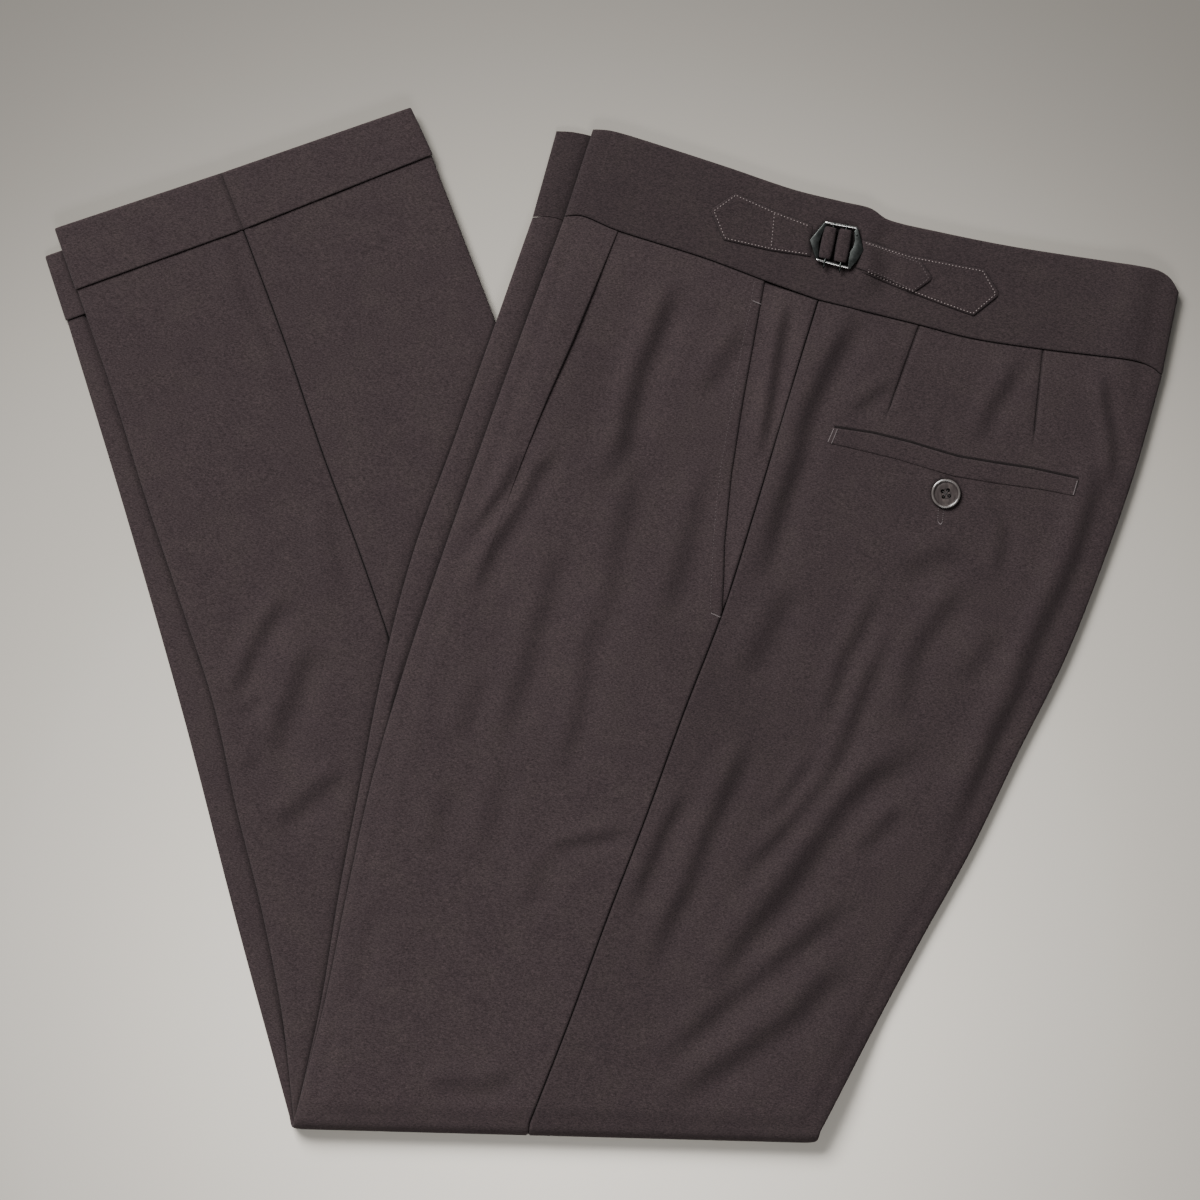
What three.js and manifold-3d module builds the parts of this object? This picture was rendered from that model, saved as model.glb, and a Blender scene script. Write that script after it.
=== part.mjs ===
// Dress trousers in wool flannel, pressed, laid crease to crease and folded under at the knee.
// Millimetres, +Z up. The underside lies on z = 0, and the origin is under the middle of the garment.
//
// The garment is worked out in the frame of its knee fold: x runs along the fold, y from the fold
// towards the waist, and z up. The thighs lie on top, with the left leg above the right. The cloth
// turns under round the knee fold, and the shins come back beneath, with the right leg above the left.

import * as THREE from 'three';
import { mergeVertices } from 'three/addons/utils/BufferGeometryUtils.js';
import Module from 'manifold-3d';

const wasm = await Module();
wasm.setup();

// Driving dimensions.
const cloth = 1.1; // one layer of flannel with its nap
const seamGap = 0.3; // between pieces that are sewn together
const hiddenGap = 0.5; // between the outer walls and the layers inside
const legGap = 0.5; // between the two legs
const sunkGap = 1.6; // under the hidden layers of the thighs, where the cloth hangs down off the shins
const legThickness = 3.2; // one leg lying flat
const armGap = 0.6; // between the shins and the thighs that lie on them
const creaseDepth = 9; // how far in from a crease a leg rounds off
const turnedIn = 12; // how far the inner layer shows in from the crease
const bandWall = 1.3; // waistband: two layers and an interlining
const bandProud = 0.6; // how far the band stands above the panels
const cuffWall = 1.7; // turn-up: two layers over the leg
const cuffProud = 1.2; // how far a turn-up stands above its leg
const cuffOverhang = 0.8; // how far a turn-up reaches past the creases
const dropStart = 10; // past the shins' back edge, where the thighs begin to come down
const dropWidth = 55; // over which they come down

const foldZ = 2 * legThickness + armGap / 2; // height of the knee fold's axis
const foldY = foldZ; // the fold's outside lies at y = 0
const thighDrop = 2 * legThickness + armGap;
const middle = { x: 160.1, y: 276.3 }; // under the middle of the garment

const flannel = new THREE.Color(0x3f3537);
const flannelInside = new THREE.Color(0x362d2f);
const gunmetal = new THREE.Color(0x2a2c2e);
const horn = new THREE.Color(0x2b2324);

// A table has named columns and a row for each station.
function table(columns, rows) {
  return rows.map((row) => Object.fromEntries(columns.map((name, i) => [name, row[i]])));
}

const sectionColumns = ['along', 'front', 'seam', 'back'];

// Sections across each leg, from the knee fold (0) to the waist seam or the turn-up (1):
// x of the front crease, of the side seam and of the back crease.
const sections = {
  left: {
    thigh: table(sectionColumns, [
      [0, 1.9, 128.2, 285.0],
      [0.125, 16.0, 148.3, 310.3],
      [0.25, 26.8, 167.2, 336.0],
      [0.375, 38.6, 186.9, 362.8],
      [0.5, 54.7, 205.5, 386.0],
      [0.625, 73.3, 225.4, 410.0],
      [0.75, 93.1, 241.4, 428.9],
      [0.875, 113.4, 256.4, 445.3],
      [1, 134.0, 271.9, 458.2],
    ]),
    shin: table(sectionColumns, [
      [0, -1.6, 127.0, 281.0],
      [0.25, -33.6, 85.0, 223.5],
      [0.5, -64.1, 44.0, 166.5],
      [0.75, -97.5, 2.0, 110.5],
      [1, -132.9, -39.0, 54.0],
    ]),
  },
  right: {
    thigh: table(sectionColumns, [
      [0, 2.2, 128.2, 284.0],
      [0.125, 14.0, 148.3, 308.8],
      [0.25, 22.4, 167.2, 334.5],
      [0.375, 32.6, 186.9, 361.3],
      [0.5, 43.0, 205.5, 384.5],
      [0.625, 57.1, 225.4, 408.5],
      [0.75, 77.4, 241.4, 427.4],
      [0.875, 97.2, 256.4, 443.8],
      [1, 116.7, 271.9, 456.7],
    ]),
    shin: table(sectionColumns, [
      [0, 0.9, 127.0, 281.0],
      [0.125, -6.9, 108.2, 251.0],
      [0.25, -19.2, 89.7, 223.9],
      [0.375, -34.5, 71.1, 196.9],
      [0.5, -48.2, 52.6, 169.8],
      [0.625, -67.9, 31.0, 142.7],
      [0.75, -88.0, 7.1, 115.6],
      [0.875, -106.8, -14.9, 88.6],
      [1, -127.6, -38.8, 61.4],
    ]),
  },
};

// y where each line meets the waist seam or the turn-up.
const lineEnds = {
  left: {
    thigh: { front: 495.7, seam: 454.2, back: 418.6 },
    shin: { front: 432.4, seam: 468, back: 507.6 },
  },
  right: {
    thigh: { front: 494.9, seam: 454.2, back: 418.6 },
    shin: { front: 449, seam: 483.7, back: 526.5 },
  },
};

// The free edges of the waistband and the turn-ups, on the same three lines.
const freeEdges = {
  left: {
    thigh: { front: [148.0, 543.1], seam: [284.5, 507.3], back: [466.1, 463.8] },
    shin: { front: [-145.1, 467.1], seam: [-52.5, 502.0], back: [43.4, 537.0] },
  },
  right: {
    thigh: { front: [128.3, 541.8], seam: [284.5, 505.8], back: [464.6, 462.5] },
    shin: { front: [-140.0, 482.0], seam: [-51.7, 514.0], back: [48.8, 551.9] },
  },
};

// The curve of the waist seam and of the band's free edge off the straight lines between the three
// lines: 'across' runs from the front crease (0) past the side seam (1) to the centre back (2).
const waistSeamRise = table(['across', 'rise'], [
  [0, 0], [0.07, 3.2], [0.2, 1.6], [0.55, 2.3], [0.8, 0.8], [1, 0],
  [1.3, -1.6], [1.45, -2.6], [1.66, 0], [1.8, 2.6], [1.92, 4.4], [1.97, 3.1], [2, 0],
]);
const bandEdgeRise = table(['across', 'rise'], [
  [0, 0], [0.07, 2], [0.2, 2.1], [0.53, 0.7], [0.8, -1], [1, 0.2], [1.08, 0.6],
  [1.13, -2.9], [1.27, -2.3], [1.5, 0.5], [1.8, 6.6], [1.88, 8.2], [1.94, 8.6], [1.975, 6], [2, 0],
]);

// The slanted side pocket: how far its mouth lies in front of the side seam.
const pocketMouth = table(['along', 'width'], [
  [0.62, 0], [0.7, 10.3], [0.78, 17.6], [0.86, 22.5], [0.93, 26.3], [1, 30.3],
]);

// The forward pleat: its distance from the front crease, and how high its fold stands.
const pleat = table(['along', 'offset', 'height'], [
  [0, 24, 0], [0.6, 24, 0], [0.72, 24, 0.4], [0.8, 25.4, 0.8], [0.88, 28, 1.2], [1, 30.2, 1.3],
]);

const foldColumns = ['x0', 'y0', 'x1', 'y1', 'bow', 'width', 'height'];

// The largest soft folds of the cloth: troughs below 0 and ridges above it. Each runs from its
// first end to its second, bows to its left, fades at both ends and is a soft bell across.
const thighFolds = table(foldColumns, [
  [330, 300, 322, 290, 0, 75, 1.6],
  [170, 300, 160, 200, 0, 48, 0.7],
  [221.8, 451.4, 150.3, 205.0, -14, 8, -1.2],
  [236.0, 440.0, 178.0, 235.0, -10, 9, 0.9],
  [154.6, 361.6, 112.1, 271.2, -6, 9, -0.8],
  [150.0, 301.7, 114.7, 193.0, -4, 9, -0.6],
  [309.9, 423.9, 257.5, 279.5, -8, 8, -1.4],
  [322.0, 410.0, 275.0, 290.0, -7, 9, 1.0],
  [359.9, 270.9, 244.4, 84.5, 8, 10, -1.7],
  [345.0, 290.0, 232.0, 130.0, 9, 9, 1.0],
  [327.4, 249.4, 253.5, 121.0, -8, 9, -1.0],
  [323.0, 292.8, 264.0, 168.5, -6, 9, -0.8],
  [255.4, 198.0, 218.0, 112.9, -4, 9, -0.9],
  [218.0, 173.0, 180.3, 81.9, -5, 9, -0.7],
  [309.6, 102.3, 200.0, 30.0, 4, 9, -0.9],
  [436.8, 338.1, 345.0, 130.3, -6, 9, -1.2],
]);
const shinFolds = table(foldColumns, [
  [-35.0, 232.4, 11.9, 278.5, -3, 9, -0.7],
  [14.0, 258.0, -3.0, 209.0, 3, 8, -0.5],
  [30.9, 186.8, -2.0, 163.5, 3, 8, -0.5],
  [-30.0, 330.0, -60.0, 400.0, 0, 40, 0.8],
]);

// The back edge of the shins, as the line that the thighs come down from.
const shinEdge = { x0: 280.9, y0: 0, x1: 48.8, y1: 551.9 };

const mix = (a, b, t) => a + (b - a) * t;

function smooth(from, to, value) {
  return THREE.MathUtils.smoothstep(value, from, to);
}

// Reads one column of a table at any place along it, as a curve through its rows.
function read(rows, key, at, column) {
  const last = rows.length - 1;
  let i = 0;
  while (i < last - 1 && at > rows[i + 1][key]) {
    i += 1;
  }
  const [a, b] = [rows[i], rows[i + 1]];
  const span = b[key] - a[key];
  const t = THREE.MathUtils.clamp((at - a[key]) / span, 0, 1);
  const before = rows[Math.max(i - 1, 0)];
  const after = rows[Math.min(i + 2, last)];
  const slopeA = i === 0 ? (b[column] - a[column]) / span
    : (b[column] - before[column]) / (b[key] - before[key]);
  const slopeB = i === last - 1 ? (b[column] - a[column]) / span
    : (after[column] - a[column]) / (after[key] - a[key]);
  const t2 = t * t;
  const t3 = t2 * t;
  return (2 * t3 - 3 * t2 + 1) * a[column] + (t3 - 2 * t2 + t) * span * slopeA
    + (3 * t2 - 2 * t3) * b[column] + (t3 - t2) * span * slopeB;
}

function linear(rows, key, at, column) {
  const i = Math.max(rows.findIndex((row) => row[key] >= at), 1);
  const [a, b] = at > rows[rows.length - 1][key] ? rows.slice(-2) : [rows[i - 1], rows[i]];
  const t = THREE.MathUtils.clamp((at - a[key]) / (b[key] - a[key]), 0, 1);
  return mix(a[column], b[column], t);
}

// How far a place lies past the shins' back edge, and how far the thighs have come down there.
function pastShins(x, y) {
  const dx = shinEdge.x1 - shinEdge.x0;
  const dy = shinEdge.y1 - shinEdge.y0;
  return ((x - shinEdge.x0) * dy - (y - shinEdge.y0) * dx) / Math.hypot(dx, dy);
}

function drop(x, y) {
  return thighDrop * smooth(dropStart, dropStart + dropWidth, pastShins(x, y));
}

// The height of the soft folds at a place.
function foldHeight(folds, x, y) {
  let height = 0;
  for (const fold of folds) {
    const dx = fold.x1 - fold.x0;
    const dy = fold.y1 - fold.y0;
    const length = Math.hypot(dx, dy);
    const along = ((x - fold.x0) * dx + (y - fold.y0) * dy) / (length * length);
    const t = THREE.MathUtils.clamp(along, 0, 1);
    const side = ((x - fold.x0) * dy - (y - fold.y0) * dx) / length - fold.bow * 4 * t * (1 - t);
    const past = (along - t) * length;
    const taper = length < fold.width ? 1 : smooth(0, 0.3, t) * smooth(0, 0.35, 1 - t);
    height += fold.height * taper * Math.exp(-(side * side + past * past) / (fold.width * fold.width));
  }
  return height;
}

// A row runs across a leg: on the thigh or the shin at 'along' from the knee fold (0) to the waist
// seam or turn-up (1), round the knee at 'turn' from the top (0) to beneath (1), or on the
// waistband or turn-up at 'free' from its seam (0) to its free edge (1).
function rowsAlong(arm, from, to, count) {
  const rows = [];
  for (let i = 0; i < count; i += 1) {
    rows.push({ arm, along: mix(from, to, i / (count - 1)) });
  }
  return rows;
}

function rowsRound(count) {
  const rows = [];
  for (let i = 1; i < count; i += 1) {
    rows.push({ arm: 'knee', turn: i / count });
  }
  return rows;
}

// The three lines of a leg where a row crosses them.
function linesAt(leg, row) {
  const lines = {};
  for (const line of ['front', 'seam', 'back']) {
    if (row.arm === 'knee') {
      const above = sections[leg].thigh[0][line];
      const beneath = sections[leg].shin[0][line];
      lines[line] = new THREE.Vector2(mix(above, beneath, row.turn), 0);
    } else {
      const rows = sections[leg][row.arm];
      const along = row.free === undefined ? row.along : 1;
      const end = lineEnds[leg][row.arm][line] - seamGap / 2;
      lines[line] = new THREE.Vector2(read(rows, 'along', along, line), mix(foldY, end, along));
    }
    if (row.free !== undefined) {
      const start = lines[line].clone();
      start.y += seamGap;
      const edge = freeEdges[leg][row.arm][line];
      lines[line].set(mix(start.x, edge[0], row.free), mix(start.y, edge[1], row.free));
    }
  }
  return lines;
}

// A point of a leg at a distance in from its front or back crease, at a height off the middle of
// the stack: the left leg lies above the middle on the thighs, and the right leg beneath it.
function legPoint(leg, row, edge, offset, height, raised = 0) {
  const lines = linesAt(leg, row);
  const crease = lines[edge];
  const width = crease.distanceTo(lines.seam);
  const spot = crease.clone().lerp(lines.seam, offset / width);
  const across = edge === 'front' ? offset / width : 2 - offset / width;
  if (row.arm === 'thigh') {
    const seamRise = linear(waistSeamRise, 'across', across, 'rise');
    const edgeRise = linear(bandEdgeRise, 'across', across, 'rise');
    spot.y += row.free === undefined ? seamRise * row.along ** 4 : mix(seamRise, edgeRise, row.free);
  }
  const off = (leg === 'left' ? height : -height);
  const radius = armGap / 2 + legThickness + off;
  if (row.arm === 'knee') {
    const angle = Math.PI * row.turn;
    return new THREE.Vector3(spot.x, foldY - radius * Math.sin(angle), foldZ + radius * Math.cos(angle));
  }
  if (row.arm === 'thigh') {
    return new THREE.Vector3(spot.x, spot.y, foldZ + radius - drop(spot.x, spot.y) + raised);
  }
  return new THREE.Vector3(spot.x, spot.y, foldZ - radius + raised);
}

// What raises the visible side of a leg: its folds and its pleat, none of it at the creases, round
// the knee, or where the thighs lie on the shins.
function relief(leg, row, edge, offset) {
  if (row.arm === 'knee' || row.free !== undefined) {
    return 0;
  }
  const spot = legPoint(leg, row, edge, offset, 0);
  const clear = smooth(0.5 * creaseDepth, creaseDepth + 12, offset) * smooth(foldY, foldY + 22, spot.y);
  if (leg === 'left' && row.arm === 'thigh') {
    let height = foldHeight(thighFolds, spot.x, spot.y) * clear * (1 - 0.6 * smooth(0.96, 1, row.along));
    if (edge === 'front') {
      const past = offset - read(pleat, 'along', row.along, 'offset');
      height += past < 0 ? 0 : read(pleat, 'along', row.along, 'height') * (1 - smooth(0, 30, past));
    }
    return height;
  }
  if (leg === 'right' && row.arm === 'shin') {
    const thighEdge = read(sections.right.thigh, 'along', spot.y / lineEnds.right.thigh.front, 'front');
    const uncovered = smooth(2, 16, thighEdge - spot.x);
    return foldHeight(shinFolds, spot.x, spot.y) * clear * Math.max(uncovered, smooth(430, 460, spot.y));
  }
  return 0;
}

// The right leg rises over the left turn-up.
function shinLift(leg, row) {
  if (leg !== 'right' || row.arm !== 'shin') {
    return 0;
  }
  return cuffProud * (row.free === undefined ? smooth(0.8, 0.97, row.along) : 1);
}

// How far the inner layer of a leg reaches in from its crease, so that both legs' end together:
// past the other leg's crease where that lies further in.
function returnLength(leg, row, edge) {
  const other = leg === 'left' ? 'right' : 'left';
  const lines = linesAt(leg, row);
  const inwards = lines.seam.clone().sub(lines[edge]).normalize();
  const spot = linesAt(other, row)[edge];
  const step = row.free === undefined ? { along: row.along - 0.05 } : { free: row.free - 0.1 };
  const next = row.arm === 'knee' ? spot.clone().setY(1) : linesAt(other, { ...row, ...step })[edge];
  const crease = next.sub(spot);
  const further = spot.sub(lines[edge]).cross(crease) / inwards.cross(crease);
  return turnedIn + Math.max(0, further);
}

const noseAngles = [0, 50, 90, 130, 180].map((degrees) => THREE.MathUtils.degToRad(degrees));

// One section of a wall that runs from near the side seam to the crease, round it and back in:
// pairs of points on its outside and its inside.
function wallSection(leg, row, edge, offsets, size) {
  const low = legGap / 2;
  const half = (size.top - low) / 2;
  const centre = (size.top + low) / 2;
  const lift = shinLift(leg, row);
  const pairs = offsets.map((offset) => {
    const raised = lift + relief(leg, row, edge, offset);
    return [
      legPoint(leg, row, edge, offset, size.top, raised),
      legPoint(leg, row, edge, offset, size.top - size.wall, raised),
    ];
  });
  for (const angle of noseAngles) {
    const outer = creaseDepth * (1 - Math.sin(angle));
    const inner = creaseDepth - (creaseDepth - size.wall) * Math.sin(angle);
    const raised = lift + (angle < 1 ? relief(leg, row, edge, outer) : 0);
    pairs.push([
      legPoint(leg, row, edge, outer, centre + half * Math.cos(angle), raised),
      legPoint(leg, row, edge, inner, centre + (half - size.wall) * Math.cos(angle), raised),
    ]);
  }
  const reach = returnLength(leg, row, edge);
  pairs.push([
    legPoint(leg, row, edge, reach, low, lift),
    legPoint(leg, row, edge, reach, low + size.wall, lift),
  ]);
  return pairs;
}

// A closed solid between two grids of points that face each other. 'ring' joins the last column to
// the first, as round a tube.
function solidBetween(outer, inner, ring = false) {
  const rows = outer.length;
  const columns = outer[0].length;
  const points = [...outer.flat(), ...inner.flat()];
  const at = (side, row, column) => (side * rows + row) * columns + (column % columns);
  const faces = [];
  const quad = (a, b, c, d) => faces.push(a, b, c, a, c, d);
  const spans = ring ? columns : columns - 1;
  const end = rows - 1;
  for (let c = 0; c < spans; c += 1) {
    for (let r = 0; r < end; r += 1) {
      quad(at(0, r, c), at(0, r, c + 1), at(0, r + 1, c + 1), at(0, r + 1, c));
      quad(at(1, r, c), at(1, r + 1, c), at(1, r + 1, c + 1), at(1, r, c + 1));
    }
    quad(at(0, 0, c), at(1, 0, c), at(1, 0, c + 1), at(0, 0, c + 1));
    quad(at(0, end, c), at(0, end, c + 1), at(1, end, c + 1), at(1, end, c));
  }
  for (let r = 0; r < end && !ring; r += 1) {
    quad(at(0, r, 0), at(0, r + 1, 0), at(1, r + 1, 0), at(1, r, 0));
    quad(at(0, r, spans), at(1, r, spans), at(1, r + 1, spans), at(0, r + 1, spans));
  }
  let volume = 0;
  for (let i = 0; i < faces.length; i += 3) {
    const [a, b, c] = [points[faces[i]], points[faces[i + 1]], points[faces[i + 2]]];
    volume += a.dot(b.clone().cross(c));
  }
  if (volume < 0) {
    faces.reverse();
  }
  const geometry = new THREE.BufferGeometry();
  geometry.setFromPoints(points);
  geometry.setIndex(faces);
  return geometry;
}

const trousers = new THREE.Group();

function add(name, geometry, color, roughness = 0.95, metalness = 0) {
  geometry.computeVertexNormals();
  const mesh = new THREE.Mesh(geometry, new THREE.MeshStandardMaterial({ color, roughness, metalness }));
  mesh.name = name;
  mesh.position.set(-middle.x, -middle.y, 0);
  trousers.add(mesh);
}

function addWall(name, sectionsOfWall, color = flannel) {
  const outer = sectionsOfWall.map((pairs) => pairs.map((pair) => pair[0]));
  const inner = sectionsOfWall.map((pairs) => pairs.map((pair) => pair[1]));
  add(name, solidBetween(outer, inner), color);
}

// Fronts and backs: each runs from the waist seam down the thigh, round the knee fold and on to the
// turn-up, from the side seam to its crease and a little way round it.
const wallSize = { top: legThickness, wall: cloth };
const spans = { left: { front: 8, back: 12 }, right: { front: 5, back: 7 } };

function evenly(from, to, steps) {
  return Array.from({ length: steps + 1 }, (_, i) => mix(from, to, i / steps));
}

function mouthWidth(leg, row) {
  const hasMouth = leg === 'left' && row.arm === 'thigh';
  return hasMouth ? linear(pocketMouth, 'along', row.along, 'width') : 0;
}

function seamWidth(leg, row, edge) {
  const lines = linesAt(leg, row);
  return lines[edge].distanceTo(lines.seam);
}

// Distances in from the crease of a panel's points, from the side seam or the pocket mouth inwards.
const mouthStrip = 5; // along the pocket mouth
const leastMouth = 10; // what the layers inside leave for the pocket, also below it

function pleatOffset(row) {
  return row.arm === 'thigh' ? read(pleat, 'along', row.along, 'offset') : pleat[0].offset;
}

function frontOffsets(leg, row) {
  const end = seamWidth(leg, row, 'front') - seamGap / 2;
  const width = mouthWidth(leg, row);
  const inner = end - Math.max(width, leastMouth) - mouthStrip;
  return [end - width, ...evenly(inner, pleatOffset(row) + 0.5, spans[leg].front), pleatOffset(row) - 1];
}

function backOffsets(leg, row) {
  return evenly(seamWidth(leg, row, 'back') - seamGap / 2, creaseDepth, spans[leg].back).slice(0, -1);
}

const frontSection = (leg, row) => wallSection(leg, row, 'front', frontOffsets(leg, row), wallSize).reverse();
const backSection = (leg, row) => wallSection(leg, row, 'back', backOffsets(leg, row), wallSize);

const kneeSteps = 5;
const thighRows = 16;
const rowsOf = {
  left: [...rowsAlong('thigh', 1, 0, thighRows), ...rowsRound(kneeSteps), ...rowsAlong('shin', 0, 1, 6)],
  right: [...rowsAlong('thigh', 1, 0, thighRows), ...rowsRound(kneeSteps), ...rowsAlong('shin', 0, 1, 14)],
};

for (const leg of ['left', 'right']) {
  addWall(`${leg}_front`, rowsOf[leg].map((row) => frontSection(leg, row)));
  addWall(`${leg}_back`, rowsOf[leg].map((row) => backSection(leg, row)));
}

// Side pocket facing: lies under the pocket mouth and comes up to the side seam.
const tuckDepth = cloth + 2.5 * seamGap;

// How far the facing lies below the panel's surface, measured from the pocket mouth.
function tuck(pastMouth, width) {
  return tuckDepth * (1 - smooth(1, Math.max(0.85 * width, 3), pastMouth));
}

function facingOffsets(mouth, end) {
  return [mouth + 0.5, mix(mouth, end, 0.3), mix(mouth, end, 0.65), end];
}

function facingSection(row) {
  const width = mouthWidth('left', row);
  const end = seamWidth('left', row, 'front') - seamGap / 2;
  const mouth = end - width;
  return [mouth - mouthStrip, ...facingOffsets(mouth, end)].map((offset) => {
    const raised = relief('left', row, 'front', offset) - tuck(offset - mouth, width);
    return [
      legPoint('left', row, 'front', offset, legThickness, raised),
      legPoint('left', row, 'front', offset, legThickness - cloth, raised),
    ];
  });
}
const facingRows = rowsAlong('thigh', 1, 0, thighRows).filter((row) => row.along > 0.66);
addWall('left_pocket_facing', facingRows.map(facingSection));

// Waistband: two pieces that meet at the centre back and turn in at the front.
function bandSection(leg, row) {
  const size = { top: legThickness + (leg === 'left' ? bandProud : 0), wall: bandWall };
  const end = seamWidth(leg, row, 'front') - seamGap / 2;
  const pocket = leg === 'left' ? facingOffsets(end - mouthWidth(leg, row), end).reverse() : [];
  const front = [...pocket, ...frontOffsets(leg, row).slice(pocket.length > 0 ? 1 : 0)];
  const fromFront = wallSection(leg, row, 'front', front, size).reverse();
  return [...fromFront, ...wallSection(leg, row, 'back', backOffsets(leg, row).slice(1), size)];
}

const bandRows = [0, 0.33, 0.67, 1].map((free) => ({ arm: 'thigh', along: 1, free }));
addWall('waistband_left', bandRows.map((row) => bandSection('left', row)));
addWall('waistband_right', bandRows.map((row) => bandSection('right', row)));

// Turn-ups: a doubled ring round each leg's end, open at the hem. The right one stands above the
// right leg, and the left one stands into the room that the right leg leaves over it.
const cuffRows = [0, 0.5, 1].map((free) => ({ arm: 'shin', along: 1, free }));

function cuffLoop(leg, row, inset) {
  const stepUp = leg === 'right' ? cuffProud : 0;
  const stepDown = leg === 'left' ? cuffProud : 0;
  const top = legThickness + stepUp;
  const low = legGap / 2 - stepDown;
  const half = (top - low) / 2;
  const centre = (top + low) / 2;
  const lift = shinLift(leg, row);
  const point = (edge, offset, height) => legPoint(leg, row, edge, offset, height, lift);
  const loop = [];
  const nose = (edge, from, to) => {
    for (const share of [0, 0.28, 0.5, 0.72, 1]) {
      const angle = mix(from, to, share) * Math.PI;
      const reach = creaseDepth + cuffOverhang - inset;
      const offset = creaseDepth - reach * Math.sin(angle);
      loop.push(point(edge, offset, centre + (half - inset) * Math.cos(angle)));
    }
  };
  const across = (edge, height, outwards) => {
    const width = seamWidth(leg, row, edge);
    const offsets = [0.3, 0.65].map((share) => mix(creaseDepth, width, share));
    const list = outwards ? [...offsets].reverse() : offsets;
    list.forEach((offset) => loop.push(point(edge, offset, height)));
  };
  nose('front', 1, 0);
  across('front', top - inset, false);
  across('back', top - inset, true);
  nose('back', 0, 1);
  across('back', low + inset, false);
  across('front', low + inset, true);
  return loop;
}

for (const leg of ['left', 'right']) {
  const outer = cuffRows.map((row) => cuffLoop(leg, row, 0));
  const inner = cuffRows.map((row) => cuffLoop(leg, row, cuffWall));
  add(`${leg}_turn_up`, solidBetween(outer, inner, true), flannel);
}

// The layers that do not show, from inside the waistband, down between the thighs, round the knee
// fold and between the shins to the turn-ups, as one body.
const coreRows = [
  ...[0.93, 0.5, 0.06].map((free) => ({ arm: 'thigh', along: 1, free })),
  { arm: 'thigh', along: 0.995 },
  ...rowsAlong('thigh', 1, 0, thighRows).slice(1),
  ...rowsRound(kneeSteps),
  ...rowsAlong('shin', 0, 0.94, 10),
];

function coreSection(row) {
  const inBand = row.free !== undefined;
  const upper = row.arm === 'shin' ? 'right' : 'left';
  const wall = inBand ? bandWall + hiddenGap : cloth;
  const depth = legThickness - wall - (row.arm === 'shin' ? 2 : 1) * hiddenGap;
  const lift = shinLift('right', row);
  const end = seamWidth(upper, row, 'front') - seamGap / 2;
  const width = mouthWidth(upper, row);
  const mouth = end - Math.max(width, leastMouth);
  const strip = mouth - mouthStrip;
  const hasPocket = upper === 'left' && !inBand && row.arm === 'thigh' && row.along > 0.6;
  const sunkAt = (edge, offset) => {
    if (!hasPocket || edge === 'back' || offset < strip - 1) {
      return 0;
    }
    if (width > leastMouth) {
      return tuck(offset - mouth, end - mouth) + 0.25;
    }
    return tuckDepth * (offset < end - 1 ? 1 : 0.5);
  };
  const pair = (edge, offset, share) => {
    const raised = lift + relief(upper, row, edge, offset) - sunkAt(edge, offset);
    const high = legPoint(upper, row, edge, offset, depth * share, raised);
    const pastDrop = pastShins(high.x, high.y) - dropStart - dropWidth;
    const hanging = row.arm === 'thigh' && !inBand ? 1 - smooth(0, 10, pastDrop) : 0;
    const depthBelow = legThickness - wall - mix(hiddenGap, sunkGap, hanging);
    const low = legPoint(upper, row, edge, offset, -depthBelow * share, 0);
    return upper === 'left' ? [high, low] : [low, high];
  };
  const reach = (edge) => returnLength(upper, row, edge) + 3;
  const pleatAt = pleatOffset(row);
  const front = [
    reach('front') + 2.5, pleatAt - 1, ...evenly(pleatAt + 0.5, strip, spans.left.front),
    ...facingOffsets(mouth, end),
  ];
  const panel = evenly(seamWidth(upper, row, 'back') - seamGap / 2, creaseDepth, spans.left.back);
  const inner = panel.slice(1, -1);
  const back = inner.map((offset, i) => Math.max(offset, reach('back') + 2.5 + 2 * (inner.length - i)));
  back.unshift(panel[0] - 3);
  return [
    pair('front', reach('front'), 0.55),
    ...front.map((offset) => pair('front', offset, 1)),
    ...back.map((offset) => pair('back', offset, 1)),
    pair('back', reach('back') + 2.5, 1),
    pair('back', reach('back'), 0.55),
  ];
}
addWall('hidden_layers', coreRows.map(coreSection), flannelInside);

// Height of a finished piece's upper surface at a place, from its own flat faces.
const ray = new THREE.Raycaster();
const down = new THREE.Vector3(0, 0, -1);

function topOf(names, x, y) {
  trousers.updateMatrixWorld(true);
  ray.set(new THREE.Vector3(x - middle.x, y - middle.y, 100), down);
  const meshes = trousers.children.filter((mesh) => names.includes(mesh.name));
  return ray.intersectObjects(meshes, false)[0].point.z;
}

// A flat trim sewn on a piece: stations along it give its two long edges, and it follows the
// surface that it lies on.
const trimColumns = ['topX', 'topY', 'bottomX', 'bottomY'];

function trimSolid(stations, on, lift, thickness, across = 2) {
  const surface = stations.map((station) => evenly(0, 1, across).map((t) => {
    const x = mix(station.topX, station.bottomX, t);
    const y = mix(station.topY, station.bottomY, t);
    return new THREE.Vector3(x, y, topOf(on, x, y) + lift);
  }));
  const raised = surface.map((row) => row.map((p) => new THREE.Vector3(p.x, p.y, p.z + thickness)));
  return solidBetween(raised, surface);
}

// Stations between the rows of a trim's table, no further apart than a step.
function refine(stations, step) {
  const fine = [];
  stations.slice(0, -1).forEach((a, i) => {
    const b = stations[i + 1];
    const count = Math.ceil(Math.hypot(b.topX - a.topX, b.topY - a.topY) / step);
    for (let k = 0; k < count; k += 1) {
      fine.push(Object.fromEntries(trimColumns.map((name) => [name, mix(a[name], b[name], k / count)])));
    }
  });
  return [...fine, stations.at(-1)];
}

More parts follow.
